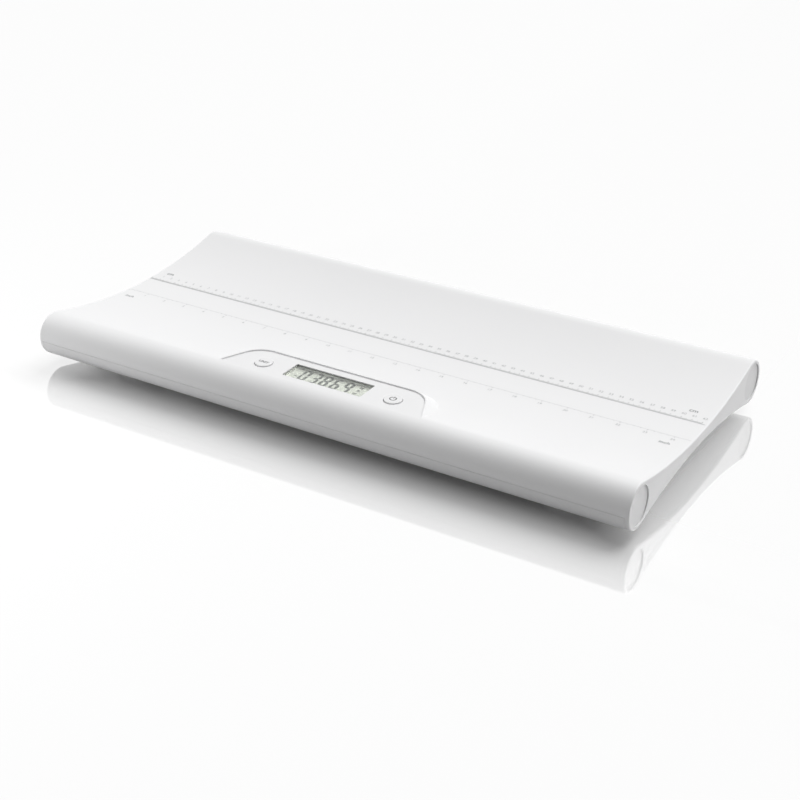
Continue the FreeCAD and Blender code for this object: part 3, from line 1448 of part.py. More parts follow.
def make_all():
    pieces = [make_tray_top_shell(), make_bottom_cover()]
    for name, side_x, side_y in CORNERS:
        pieces.append(make_end_cap(f"end_cap_{name}", side_x, side_y))
    pieces += [make_display_window(), make_lcd_panel(), make_lcd_holder(), make_connector_strips()]
    pieces += [make_main_board(), make_board_components(), make_lead_connectors(), make_button_switches()]
    for name, side in (("unit", -1), ("power", 1)):
        pieces.append(make_button(f"{name}_button", side))
        pieces.append(make_plunger(f"{name}_switch_plunger", side))
    for row, side in (("front", -1), ("rear", 1)):
        for number_in_row in (0, 1):
            pieces.append(make_battery(f"battery_{row}_{number_in_row + 1}", side, number_in_row))
    pieces += [make_battery_springs(), make_battery_contacts(), make_battery_door()]
    for name, side_x, side_y in CORNERS:
        pieces.append(make_foot_pad(f"foot_pad_{name}", side_x, side_y))
        pieces.append(make_foot(f"foot_{name}", side_x, side_y))
        pieces.append(make_load_cell(f"load_cell_{name}", side_x, side_y))
        pieces.append(make_load_cell_holder(f"load_cell_holder_{name}", side_x, side_y))
    pieces.append(make_housing_screws())
    pieces.append(make_board_screws())
    pieces += make_sensor_leads()
    return pieces


def check_and_export(pieces):
    doc.recompute()
    for item in doc.Objects:
        if "Invalid" in item.State or "Error" in item.State:
            raise RuntimeError(f"{item.Label} did not compute: {item.State}")
    os.makedirs("parts", exist_ok=True)
    for piece in pieces:
        shape = piece.Shape
        if shape.isNull() or not shape.isValid() or not shape.Solids:
            raise RuntimeError(f"{piece.Label} has no valid solid")
        shape.exportStep(f"parts/{piece.Label}.step")


check_and_export(make_all())
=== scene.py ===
# %% [markdown]
# # Digital baby weighing scale
# The scale is a long, low tray between two round rolls, with a small raised console for the display and
# the buttons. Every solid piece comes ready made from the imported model, which is the frame of this scene.
# Here the pieces get their finishes, and the prints, display segments and small marks are added.

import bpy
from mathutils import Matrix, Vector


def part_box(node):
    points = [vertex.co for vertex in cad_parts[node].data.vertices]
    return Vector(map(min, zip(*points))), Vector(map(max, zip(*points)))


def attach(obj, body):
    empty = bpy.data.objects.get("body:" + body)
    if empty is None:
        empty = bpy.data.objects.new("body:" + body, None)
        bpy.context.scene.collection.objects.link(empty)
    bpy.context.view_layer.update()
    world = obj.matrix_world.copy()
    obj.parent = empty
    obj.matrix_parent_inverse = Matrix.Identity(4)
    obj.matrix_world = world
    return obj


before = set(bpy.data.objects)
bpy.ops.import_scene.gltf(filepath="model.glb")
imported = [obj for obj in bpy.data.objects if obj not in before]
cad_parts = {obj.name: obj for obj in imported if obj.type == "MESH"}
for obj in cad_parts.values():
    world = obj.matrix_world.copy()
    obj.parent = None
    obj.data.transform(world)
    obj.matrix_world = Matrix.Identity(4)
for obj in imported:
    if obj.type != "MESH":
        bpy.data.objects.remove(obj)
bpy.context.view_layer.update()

# %% [markdown]
# ## Units and a clean start
# Real objects are drawn in millimetres and Blender counts in metres, so one factor turns the first into
# the second. An operator acts on whatever is selected, so a small helper clears the selection first.

# %% Units and selection
import math

import bpy
from mathutils import Matrix, Vector

MM = 0.001
bpy.context.scene.view_settings.view_transform = "Standard"


def clear_selection():
    bpy.ops.object.select_all(action="DESELECT")


def select_only(*pieces):
    clear_selection()
    for piece in pieces:
        piece.select_set(True)
    bpy.context.view_layer.objects.active = pieces[0]


clear_selection()
print("view", bpy.context.scene.view_settings.view_transform)

# %% [markdown]
# ## Camera
# The scale is seen from the front right and from above, with a long lens that keeps its long edges nearly
# parallel. The camera's axes are worked out from three angles: how far it is turned to the left, how far
# it looks down, and how little it leans.

# %% Place the camera
EYE = Vector((689.31, -1085.88, 659.97)) * MM
TURN, LOOK_DOWN, LEAN = math.radians(32.017), math.radians(27.775), math.radians(-0.307)
LENS_MM, SENSOR_MM = 67.25, 36

forward = Vector((
    -math.sin(TURN) * math.cos(LOOK_DOWN),
    math.cos(TURN) * math.cos(LOOK_DOWN),
    -math.sin(LOOK_DOWN),
))
level_right = Vector((math.cos(TURN), math.sin(TURN), 0))
level_up = level_right.cross(forward)
camera_right = level_right * math.cos(LEAN) + level_up * math.sin(LEAN)
camera_up = level_up * math.cos(LEAN) - level_right * math.sin(LEAN)
camera_data = bpy.data.cameras.new("studio_camera")
camera_data.lens = LENS_MM
camera_data.sensor_width = SENSOR_MM
camera_data.sensor_fit = "HORIZONTAL"
camera = bpy.data.objects.new("studio_camera", camera_data)
bpy.context.scene.collection.objects.link(camera)
camera_turn = Matrix((camera_right, camera_up, -forward)).transposed().to_4x4()
camera.matrix_world = Matrix.Translation(EYE) @ camera_turn
bpy.context.scene.camera = camera
print("camera at", [round(value, 3) for value in EYE])

# %% [markdown]
# ## Helpers for finishes
# Every finish on the scale is worked out from place: a noise is read at each point of the surface, in the
# piece's own coordinates, and turned into a little more or less colour, gloss and height. A few short
# functions add the nodes for this, so that each finish below reads as a list of amounts.

# %% Helpers for node groups


def new_group(name, inputs, outputs):
    group = bpy.data.node_groups.new(name, "ShaderNodeTree")
    for label, kind, value in inputs:
        socket = group.interface.new_socket(label, in_out="INPUT", socket_type=kind)
        socket.default_value = value
    for label, kind in outputs:
        group.interface.new_socket(label, in_out="OUTPUT", socket_type=kind)
    return group, group.nodes.new("NodeGroupInput"), group.nodes.new("NodeGroupOutput")


def object_place(tree):
    return tree.nodes.new("ShaderNodeTexCoord").outputs["Object"]


def object_axes(tree):
    """The place on the piece as three separate values, X, Y and Z."""
    split = tree.nodes.new("ShaderNodeSeparateXYZ")
    tree.links.new(object_place(tree), split.inputs["Vector"])
    return split.outputs


def noise(tree, coordinates, scale, detail=2.0):
    node = tree.nodes.new("ShaderNodeTexNoise")
    node.inputs["Scale"].default_value = scale
    node.inputs["Detail"].default_value = detail
    tree.links.new(coordinates, node.inputs["Vector"])
    return node.outputs["Fac"]


def math_node(tree, operation, first, second):
    """One step of arithmetic on two values, each a plain number or the output of another node."""
    node = tree.nodes.new("ShaderNodeMath")
    node.operation = operation
    for socket, value in zip(node.inputs, (first, second)):
        if isinstance(value, (int, float)):
            socket.default_value = value
        else:
            tree.links.new(value, socket)
    return node.outputs["Value"]


def spread(tree, factor, amount, centre):
    """A value that drifts by an amount each way around a centre, as the factor runs from 0 to 1."""
    away = math_node(tree, "SUBTRACT", factor, 0.5)
    doubled = math_node(tree, "MULTIPLY", away, 2.0)
    scaled = math_node(tree, "MULTIPLY", doubled, amount)
    return math_node(tree, "ADD", centre, scaled)


def drift_and_relief(group, group_in, group_out, drift, relief, amounts, depth):
    """Let one noise drift the colour and the gloss of a finish, and another raise its relief."""
    tone_amount, gloss_amount, relief_amount = (group_in.outputs[label] for label in amounts)
    tinted = group.nodes.new("ShaderNodeVectorMath")
    tinted.operation = "SCALE"
    group.links.new(group_in.outputs["Colour"], tinted.inputs[0])
    group.links.new(spread(group, drift, tone_amount, 1.0), tinted.inputs["Scale"])
    group.links.new(tinted.outputs["Vector"], group_out.inputs["Colour"])
    gloss = spread(group, drift, gloss_amount, group_in.outputs["Roughness"])
    group.links.new(gloss, group_out.inputs["Roughness"])
    bump = group.nodes.new("ShaderNodeBump")
    bump.inputs["Distance"].default_value = depth * MM
    group.links.new(relief_amount, bump.inputs["Strength"])
    group.links.new(relief, bump.inputs["Height"])
    group.links.new(bump.outputs["Normal"], group_out.inputs["Normal"])


print("helpers ready")

# %% [markdown]
# ## Shared effect: moulded skin
# Moulded plastic is never perfectly even. Its gloss drifts a little from place to place and its skin has
# a very fine ripple, like the peel of an orange. A node group makes both from noise, so each plastic can
# ask for its own amount. The group gives only a colour, a roughness and a normal.

# %% Build the moulded skin
skin_group, skin_in, skin_out = new_group(
    "moulded_skin",
    [
        ("Colour", "NodeSocketColor", (0.8, 0.8, 0.8, 1)),
        ("Tone Drift", "NodeSocketFloat", 0.02),
        ("Roughness", "NodeSocketFloat", 0.35),
        ("Gloss Drift", "NodeSocketFloat", 0.05),
        ("Ripple", "NodeSocketFloat", 0.05),
    ],
    [("Colour", "NodeSocketColor"), ("Roughness", "NodeSocketFloat"), ("Normal", "NodeSocketVector")],
)
skin_place = object_place(skin_group)
wide_noise = noise(skin_group, skin_place, scale=9.0, detail=3.0)
fine_noise = noise(skin_group, skin_place, scale=700.0)
drift_and_relief(skin_group, skin_in, skin_out, drift=wide_noise, relief=fine_noise,
                 amounts=("Tone Drift", "Gloss Drift", "Ripple"), depth=0.02)
print("group", skin_group.name, "with", len(skin_group.nodes), "nodes")

# %% [markdown]
# ## Shared effect: drawn metal
# Springs, screws and load cells are steel. Rolling and drawing leave fine streaks that run one way. The
# group stretches noise along one axis, which gives streaks in colour, gloss and height at once.

# %% Build the drawn metal
metal_group, metal_in, metal_out = new_group(
    "drawn_metal",
    [
        ("Colour", "NodeSocketColor", (0.6, 0.6, 0.6, 1)),
        ("Roughness", "NodeSocketFloat", 0.3),
        ("Streaks", "NodeSocketFloat", 0.12),
    ],
    [("Colour", "NodeSocketColor"), ("Roughness", "NodeSocketFloat"), ("Normal", "NodeSocketVector")],
)
stretch = metal_group.nodes.new("ShaderNodeMapping")
stretch.inputs["Scale"].default_value = (60, 1800, 1800)
metal_group.links.new(object_place(metal_group), stretch.inputs["Vector"])
streak_noise = noise(metal_group, stretch.outputs["Vector"], scale=1.0, detail=3.0)
drift_and_relief(metal_group, metal_in, metal_out, drift=streak_noise, relief=streak_noise,
                 amounts=("Streaks", "Streaks", "Streaks"), depth=0.01)
print("group", metal_group.name, "with", len(metal_group.nodes), "nodes")

# %% [markdown]
# ## Materials
# Each finish is one material with a Principled shader. The shared groups feed its colour, roughness and
# normal, and everything that is the same all over the surface is set on the shader's own sockets.

# %% Helpers for materials


def new_material(name, **sockets):
    material = bpy.data.materials.new(name)
    material.use_nodes = True
    shader = material.node_tree.nodes["Principled BSDF"]
    for label, value in sockets.items():
        shader.inputs[label.replace("_", " ")].default_value = value
    return material, material.node_tree, shader


def add_group(tree, shader, group, **values):
    node = tree.nodes.new("ShaderNodeGroup")
    node.node_tree = group
    for label, value in values.items():
        node.inputs[label.replace("_", " ")].default_value = value
    tree.links.new(node.outputs["Colour"], shader.inputs["Base Color"])
    tree.links.new(node.outputs["Roughness"], shader.inputs["Roughness"])
    tree.links.new(node.outputs["Normal"], shader.inputs["Normal"])


def moulded_plastic(name, colour, roughness, tone_drift=0.012, gloss_drift=0.04, ripple=0.15):
    material, tree, shader = new_material(name)
    add_group(tree, shader, skin_group, Colour=(*colour, 1), Tone_Drift=tone_drift, Roughness=roughness,
              Gloss_Drift=gloss_drift, Ripple=ripple)
    return material


def drawn_steel(name, colour, roughness, streaks=0.1):
    material, tree, shader = new_material(name, Metallic=1.0)
    add_group(tree, shader, metal_group, Colour=(*colour, 1), Roughness=roughness, Streaks=streaks)
    return material


def dress(material, *nodes):
    """Give CAD nodes a finish. Their meshes stay as they are."""
    for name in nodes:
        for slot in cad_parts[name].material_slots:
            slot.material = material
    print(material.name, "on", len(nodes), "nodes")


print("material helpers ready")

# %% [markdown]
# ### White plastics
# The tray and the buttons are a bright white plastic, the tray with a satin gloss and the buttons with a
# higher one. The end caps are a touch greyer, and so is the lower moulding, whose mould is less polished.
# The feet and their holders are a plainer grade. The frame that holds the display is a grey-green.

# %% White plastics
CORNERS = ("front_left", "front_right", "rear_left", "rear_right")
tray_plastic = moulded_plastic("tray_plastic", (0.86, 0.86, 0.865), roughness=0.42)
cap_plastic = moulded_plastic("cap_plastic", (0.79, 0.79, 0.795), roughness=0.42)
button_plastic = moulded_plastic("button_plastic", (0.87, 0.87, 0.875), roughness=0.22)
cover_plastic = moulded_plastic("cover_plastic", (0.84, 0.84, 0.845), roughness=0.42, ripple=0.3)
foot_plastic = moulded_plastic("foot_plastic", (0.74, 0.74, 0.735), roughness=0.5, ripple=0.3)
holder_plastic = moulded_plastic("holder_plastic", (0.78, 0.78, 0.77), roughness=0.5, ripple=0.3)
frame_plastic = moulded_plastic("frame_plastic", (0.55, 0.56, 0.52), roughness=0.5, ripple=0.3)
dress(tray_plastic, "tray_top_shell")
dress(cap_plastic, *(f"end_cap_{corner}" for corner in CORNERS))
dress(button_plastic, "unit_button", "power_button")
dress(cover_plastic, "bottom_cover", "battery_door")
dress(foot_plastic, *(f"foot_{corner}" for corner in CORNERS))
dress(holder_plastic, *(f"load_cell_holder_{corner}" for corner in CORNERS))
dress(frame_plastic, "lcd_holder")

# %% [markdown]
# ### Window and display panel
# The window is clear plastic. Light has to fall through it onto the display, so for shadow rays it counts
# as empty. The panel below is the grey-green of a plain liquid crystal display with no light behind it.

# %% Window and display panel
window_clear, tree, shader = new_material(
    "window_clear",
    Base_Color=(0.96, 0.98, 0.96, 1),
    Transmission_Weight=1.0,
    IOR=1.47,
)
haze = noise(tree, object_place(tree), scale=60.0)
tree.links.new(spread(tree, haze, amount=0.01, centre=0.02), shader.inputs["Roughness"])
light_path = tree.nodes.new("ShaderNodeLightPath")
empty_shader = tree.nodes.new("ShaderNodeBsdfTransparent")
shadow_mix = tree.nodes.new("ShaderNodeMixShader")
tree.links.new(light_path.outputs["Is Shadow Ray"], shadow_mix.inputs["Fac"])
tree.links.new(shader.outputs["BSDF"], shadow_mix.inputs[1])
tree.links.new(empty_shader.outputs["BSDF"], shadow_mix.inputs[2])
tree.links.new(shadow_mix.outputs["Shader"], tree.nodes["Material Output"].inputs["Surface"])
dress(window_clear, "display_window")

lcd_glass = moulded_plastic("lcd_glass", (0.43, 0.44, 0.395), roughness=0.28, tone_drift=0.02, ripple=0.02)
dress(lcd_glass, "lcd_panel")

# %% [markdown]
# ### Inside the console
# The circuit board is glass cloth under green lacquer, with copper tracks that show through as paler
# lines. A brick pattern is an easy source of such lines, and its mortar is raised a little as they are.

# %% Circuit board
board_lacquer, tree, shader = new_material("board_lacquer", Coat_Weight=0.3)
board_place = object_place(tree)
tracks = tree.nodes.new("ShaderNodeTexBrick")
tracks.inputs["Scale"].default_value = 90
tracks.inputs["Color1"].default_value = (0.02, 0.16, 0.06, 1)
tracks.inputs["Color2"].default_value = (0.02, 0.13, 0.05, 1)
tracks.inputs["Mortar"].default_value = (0.06, 0.30, 0.12, 1)
tracks.inputs["Mortar Size"].default_value = 0.03
tree.links.new(board_place, tracks.inputs["Vector"])
tree.links.new(tracks.outputs["Color"], shader.inputs["Base Color"])
lacquer_gloss = spread(tree, noise(tree, board_place, scale=200.0), amount=0.06, centre=0.3)
tree.links.new(lacquer_gloss, shader.inputs["Roughness"])
track_relief = tree.nodes.new("ShaderNodeBump")
track_relief.inputs["Distance"].default_value = 0.03 * MM
tree.links.new(tracks.outputs["Fac"], track_relief.inputs["Height"])
tree.links.new(track_relief.outputs["Normal"], shader.inputs["Normal"])
dress(board_lacquer, "main_board")

# %% [markdown]
# ### Components and leads
# The small parts on the board are dull black mouldings, the plug blocks are natural nylon, and the strips
# that connect the display are silicone rubber. The leads of the load cells have red sleeves.

# %% Components, connectors and leads
chip_black = moulded_plastic("chip_black", (0.03, 0.03, 0.032), roughness=0.55, tone_drift=0.1, ripple=0.6)
connector_nylon = moulded_plastic("connector_nylon", (0.72, 0.69, 0.60), roughness=0.45, tone_drift=0.03)
plunger_plastic = moulded_plastic("plunger_plastic", (0.07, 0.07, 0.07), roughness=0.4)
strip_rubber = moulded_plastic("strip_rubber", (0.42, 0.12, 0.09), roughness=0.7,
                               tone_drift=0.1, ripple=0.5)
lead_sleeve = moulded_plastic("lead_sleeve", (0.30, 0.03, 0.03), roughness=0.45,
                              tone_drift=0.06, ripple=0.3)
dress(chip_black, "board_components", "button_switches")
dress(connector_nylon, "lead_connectors")
dress(plunger_plastic, "unit_switch_plunger", "power_switch_plunger")
dress(strip_rubber, "lcd_connector_strips")
dress(lead_sleeve, *(f"sensor_lead_{corner}" for corner in CORNERS))

# %% [markdown]
# ### Steel and rubber
# Screws are zinc plated, contacts and springs nickel plated, and the load cells plain spring steel. The
# pads under the feet are soft dark rubber with a coarse skin that grips the table.

# %% Steel and rubber
contact_steel = drawn_steel("contact_steel", (0.70, 0.68, 0.64), roughness=0.22)
screw_steel = drawn_steel("screw_steel", (0.55, 0.56, 0.58), roughness=0.34)
cell_steel = drawn_steel("load_cell_steel", (0.52, 0.52, 0.53), roughness=0.38, streaks=0.16)
pad_rubber = moulded_plastic("pad_rubber", (0.035, 0.035, 0.037), roughness=0.75,
                             tone_drift=0.12, gloss_drift=0.08, ripple=1.0)
dress(contact_steel, "battery_springs", "battery_contacts")
dress(screw_steel, "housing_screws", "board_screws")
dress(cell_steel, *(f"load_cell_{corner}" for corner in CORNERS))
dress(pad_rubber, *(f"foot_pad_{corner}" for corner in CORNERS))

# %% [markdown]
# ### Cells
# A small dry cell has a dark sleeve, a copper coloured band near its plus end and a bare steel cap. The
# bands are steps in a colour ramp that runs along the cell, counted from its plus end.

# %% Cells
CELL_LENGTH = 44.5 * MM
CAP_STEEL = (0.62, 0.62, 0.60, 1)
COPPER_BAND = (0.52, 0.23, 0.09, 1)
DARK_SLEEVE = (0.02, 0.022, 0.025, 1)
SLEEVE_BANDS = ((0.0, CAP_STEEL), (0.035, COPPER_BAND), (0.30, DARK_SLEEVE), (0.975, CAP_STEEL))


def cell_sleeve(name, node, plus_side):
    low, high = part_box(node)
    material, tree, shader = new_material(name, Coat_Weight=0.2)
    plus_x = high[0] if plus_side > 0 else low[0]
    inwards = math_node(tree, "SUBTRACT", plus_x, object_axes(tree)["X"])
    away = math_node(tree, "MULTIPLY", inwards, plus_side)
    along = math_node(tree, "DIVIDE", away, CELL_LENGTH)
    bands = tree.nodes.new("ShaderNodeValToRGB")
    bands.color_ramp.interpolation = "CONSTANT"
    for index, (position, colour) in enumerate(SLEEVE_BANDS):
        stop = bands.color_ramp.elements[0] if index == 0 else bands.color_ramp.elements.new(position)
        stop.color = colour
    bands.color_ramp.elements.remove(bands.color_ramp.elements[-1])
    tree.links.new(along, bands.inputs["Fac"])
    tree.links.new(bands.outputs["Color"], shader.inputs["Base Color"])
    scuffs = noise(tree, object_place(tree), scale=150.0, detail=4.0)
    tree.links.new(spread(tree, scuffs, amount=0.08, centre=0.3), shader.inputs["Roughness"])
    dress(material, node)


for row, plus_side in (("front", 1), ("rear", -1)):
    for number in (1, 2):
        cell_sleeve(f"cell_sleeve_{row}_{number}", f"battery_{row}_{number}", plus_side)

# %% [markdown]
# ## Printed rules
# A baby is measured against two rules printed across the tray, one in centimetres and one in inches. A
# print has no thickness worth modelling, so each mark is a flat face that lies a few hundredths of a
# millimetre above the plastic. The inks come first: a mid grey for the strong marks of the rules, a
# paler one for the fine ones, a dark one for the keys, and for the display one ink for the bars that are
# on and one for the rest.

# %% Printing inks
rule_ink = moulded_plastic("rule_ink", (0.27, 0.275, 0.28), roughness=0.5, tone_drift=0.05)
pale_ink = moulded_plastic("pale_ink", (0.42, 0.425, 0.43), roughness=0.5, tone_drift=0.05)
key_ink = moulded_plastic("key_ink", (0.07, 0.072, 0.075), roughness=0.45, tone_drift=0.05)
segment_ink = moulded_plastic("segment_ink", (0.03, 0.035, 0.03), roughness=0.4, tone_drift=0.05)
faint_segment_ink = moulded_plastic("faint_segment_ink", (0.39, 0.40, 0.36), roughness=0.3, tone_drift=0.03)
print("inks ready")

# %% [markdown]
# ### How the marks are made
# The marks of the tray are made in plan, well above it, and then dropped straight down with a Shrinkwrap
# modifier, so that they follow its curve. Marks on a flat face are made right where they belong.

# %% Helpers for flat marks
TRAY_INK_GAP = 0.05
FLAT_INK_GAP = 0.03
START_Z = 60.0


def apply_place(piece):
    select_only(piece)
    bpy.ops.object.transform_apply(location=True, rotation=True, scale=True)


def add_strip(name, centre, size, at_z=START_Z):
    """A flat rectangle, in millimetres, with its place kept in its mesh."""
    clear_selection()
    bpy.ops.mesh.primitive_plane_add(size=1, location=(centre[0] * MM, centre[1] * MM, at_z * MM))
    strip = bpy.context.object
    strip.name = name
    strip.scale = (size[0] * MM, size[1] * MM, 1)
    apply_place(strip)
    return strip


def repeat_along_x(piece, count, step):
    select_only(piece)
    array = piece.modifiers.new("repeat", "ARRAY")
    array.use_relative_offset = False
    array.use_constant_offset = True
    array.constant_offset_displace = (step * MM, 0, 0)
    array.count = count
    bpy.ops.object.modifier_apply(modifier=array.name)


def join(name, pieces):
    select_only(*pieces)
    bpy.ops.object.join()
    pieces[0].name = name
    return pieces[0]


def drop_onto(piece, node):
    """Lay the marks on a CAD node, straight down from where they are."""
    select_only(piece)
    wrap = piece.modifiers.new("drop", "SHRINKWRAP")
    wrap.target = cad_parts[node]
    wrap.wrap_method = "PROJECT"
    wrap.use_project_z = True
    wrap.use_positive_direction = False
    wrap.use_negative_direction = True
    wrap.offset = TRAY_INK_GAP * MM
    bpy.ops.object.modifier_apply(modifier=wrap.name)


def finish_piece(piece, material, body):
    piece.data.materials.clear()
    piece.data.materials.append(material)
    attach(piece, body)
    clear_selection()
    heights = [round(vertex.co.z / MM, 2) for vertex in piece.data.vertices]
    print(piece.name, len(piece.data.polygons), "faces, z", min(heights), "to", max(heights))


def print_on_tray(piece, ink):
    drop_onto(piece, "tray_top_shell")
    finish_piece(piece, ink, "base")


print("mark helpers ready")

# %% [markdown]
# ### Numbers
# Numbers are text objects. Text keeps its own outline until it is made a mesh, so it is converted before
# its place is applied. All the numbers of one rule end as one mesh. Capitals are 0.73 times as high as
# the size that Blender asks for, so the size is worked out from the height of the letters.

# %% Helper for lettering
CAPITAL_SHARE = 0.73
CURVE_STEPS = 3


def add_words(words, centre, capital_height, at_z=START_Z, boldness=0.0):
    """Flat lettering with capitals of a given height, centred on a place, still as a text object."""
    clear_selection()
    bpy.ops.object.text_add(location=(centre[0] * MM, centre[1] * MM, at_z * MM))
    text = bpy.context.object
    text.data.body = words
    text.data.size = capital_height * MM / CAPITAL_SHARE
    text.data.align_x = "CENTER"
    text.data.align_y = "CENTER"
    text.data.resolution_u = CURVE_STEPS
    text.data.offset = boldness * MM
    return text


def words_to_mesh(name, texts):
    select_only(*texts)
    bpy.ops.object.convert(target="MESH")
    bpy.ops.object.transform_apply(location=True, rotation=True, scale=True)
    return join(name, texts)


print("lettering helper ready")

# %% [markdown]
# ### The centimetre rule
# A line runs along the tray with a tick at every millimetre, a longer one at every half centimetre and
# the longest at every centimetre, where a number stands. Each row of ticks is one rectangle, repeated.

# %% Centimetre rule
RULE_START_X = -312.16
RULE_CM = 62
CM_LINE_Y, CM_LINE_WIDTH = 17.35, 0.5
CM_TICK_WIDTH = 0.34
CM_NUMBER_Y = 27.2
NUMBER_HEIGHT = 3.3
LINE_START_X, LINE_END_X, LINE_STEP = -312.5, 311.5, 2


def tick_row(name, step, count, length, width=CM_TICK_WIDTH, side=1, line_y=CM_LINE_Y):
    """Ticks along a rule, behind its line where the side is 1 and in front of it where it is -1."""
    tick = add_strip(name, (RULE_START_X, line_y + side * length / 2), (width, length))
    repeat_along_x(tick, count, step)
    return tick


def long_line(name, line_y, width):
    """A line made of short stretches, so that it can follow the rounded ends of the tray."""
    line = add_strip(name, (LINE_START_X + LINE_STEP / 2, line_y), (LINE_STEP, width))
    repeat_along_x(line, round((LINE_END_X - LINE_START_X) / LINE_STEP), LINE_STEP)
    return line


def rule_numbers(count, step, number_y):
    """A number at each full unit of a rule."""
    return [
        add_words(str(number), (RULE_START_X + step * number, number_y), NUMBER_HEIGHT)
        for number in range(1, count + 1)
    ]


cm_marks = [
    long_line("cm_line", CM_LINE_Y, CM_LINE_WIDTH),
    tick_row("mm_ticks", step=1, count=10 * RULE_CM + 1, length=2.35),
    tick_row("half_cm_ticks", step=5, count=2 * RULE_CM + 1, length=3.3),
    tick_row("cm_ticks", step=10, count=RULE_CM + 1, length=4.4),
]
cm_numbers = rule_numbers(RULE_CM, 10, CM_NUMBER_Y)
print_on_tray(join("cm_rule", cm_marks), rule_ink)
print_on_tray(words_to_mesh("cm_numbers", cm_numbers), pale_ink)

# %% [markdown]
# ### The inch rule
# The inch rule hangs down from a thin line, nearer to the console. It has a tick at every quarter of an
# inch, and a longer one with a number at every inch. It starts at the same place as the other rule.

# %% Inch rule
INCH = 25.4
RULE_INCHES = 24
INCH_LINE_Y, INCH_LINE_WIDTH = -15.3, 0.26
INCH_TICK_WIDTH = 0.3
INCH_NUMBER_Y = -21.5


def inch_ticks(name, parts, length, width):
    return tick_row(name, INCH / parts, parts * RULE_INCHES + 1, length, width, side=-1, line_y=INCH_LINE_Y)


inch_marks = [
    long_line("inch_line", INCH_LINE_Y, INCH_LINE_WIDTH),
    inch_ticks("quarter_ticks", parts=4, length=1.5, width=INCH_LINE_WIDTH),
    inch_ticks("inch_ticks", parts=1, length=2.7, width=INCH_TICK_WIDTH),
]
inch_numbers = words_to_mesh("inch_numbers", rule_numbers(RULE_INCHES, INCH, INCH_NUMBER_Y))
print_on_tray(join("inch_rule", [*inch_marks, inch_numbers]), pale_ink)

# %% [markdown]
# ### Names of the units
# Each rule has the name of its unit at both ends, in stronger letters than the numbers.

# %% Unit names
LABEL_PLACES_X = (-299, 294)
LABEL_BOLDNESS = 0.1

unit_names = []
for words, label_y, capital_height in (("cm", 35.0, 5.2), ("inch", -31.0, 4.6)):
    for label_x in LABEL_PLACES_X:
        unit_names.append(add_words(words, (label_x, label_y), capital_height, boldness=LABEL_BOLDNESS))
print_on_tray(words_to_mesh("unit_names", unit_names), rule_ink)

# %% [markdown]
# ## Display
# Each figure on a liquid crystal display is seven bars with pointed ends. One bar is a thin rectangle
# whose corners are bevelled until its short sides close to a point. It is copied for each place in the
# figure, once dark for the bars that are on and once faint for the rest.

# %% Model one bar
DISPLAY_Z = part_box("lcd_panel")[1][2] / MM + FLAT_INK_GAP
BAR_WIDTH = 2.8
FIGURE_WIDTH, FIGURE_HEIGHT = 8.6, 20.3
BAR_GAP = 0.35
DOUBLES_WITHIN = 0.01


def add_bar(length):
    """A bar along x around the origin, with pointed ends."""
    bar = add_strip("bar", (0, 0), (length, BAR_WIDTH), DISPLAY_Z)
    select_only(bar)
    bpy.ops.object.mode_set(mode="EDIT")
    bpy.ops.mesh.select_all(action="SELECT")
    bpy.ops.mesh.bevel(offset=BAR_WIDTH / 2 * MM, affect="VERTICES", clamp_overlap=True)
    bpy.ops.mesh.select_all(action="SELECT")
    bpy.ops.mesh.remove_doubles(threshold=DOUBLES_WITHIN * MM)
    bpy.ops.object.mode_set(mode="OBJECT")
    return bar


def place_copy(bar, centre, upright):
    """A copy of a bar with its own mesh, turned upright or not, at its place."""
    select_only(bar)
    bpy.ops.object.duplicate()
    copy = bpy.context.object
    copy.rotation_euler.z = math.pi / 2 if upright else 0
    copy.location = (centre[0] * MM, centre[1] * MM, 0)
    apply_place(copy)
    return copy


half_width = (FIGURE_WIDTH - BAR_WIDTH) / 2
half_height = (FIGURE_HEIGHT - BAR_WIDTH) / 2
level_bar = add_bar(2 * half_width - BAR_GAP)
upright_bar = add_bar(half_height - BAR_GAP)
print("bars", len(level_bar.data.vertices), "and", len(upright_bar.data.vertices), "vertices")

# %% [markdown]
# ### The figures
# The seven bars of a figure are named a to g, clockwise from the top with g in the middle, as makers of
# displays do. Each figure is then just the letters of its lit bars and a place along the display.

# %% Set the figures
BARS = {
    "a": (0, half_height, False),
    "b": (half_width, half_height / 2, True),
    "c": (half_width, -half_height / 2, True),
    "d": (0, -half_height, False),
    "e": (-half_width, -half_height / 2, True),
    "f": (-half_width, half_height / 2, True),
    "g": (0, 0, False),
}
FIGURES = (("abcdef", -27.2), ("abcdg", -15.3), ("abcdefg", -4.2), ("acdefg", 7.4), ("abcfg", 19.0))
FIGURE_Y = -102.8

lit, unlit = [], []
for lit_bars, figure_x in FIGURES:
    for name, (x, y, upright) in BARS.items():
        copy = place_copy(upright_bar if upright else level_bar, (figure_x + x, FIGURE_Y + y), upright)
        (lit if name in lit_bars else unlit).append(copy)
display_figures = join("display_figures", lit)
faint_bars = join("faint_bars", unlit)
select_only(level_bar, upright_bar)
bpy.ops.object.delete()
finish_piece(display_figures, segment_ink, "base")
finish_piece(faint_bars, faint_segment_ink, "base")

# %% [markdown]
# ### Small display marks
# Beside the figures stand the units, one below the other. At the left are a small pointer, which is a
# circle of three corners, and the minus sign.

# %% Units, pointer and minus sign
DISPLAY_UNITS = (("kg", (31.0, -97.0), 3.3), ("lb", (31.0, -102.8), 3.0), ("oz", (30.6, -108.6), 3.3))
UNIT_BOLDNESS = 0.2
POINTER_PLACE, POINTER_RADIUS = (-35.4, -93.6), 1.8
MINUS_PLACE, MINUS_SIZE = (-34.4, -107.6), (3.4, 1.6)

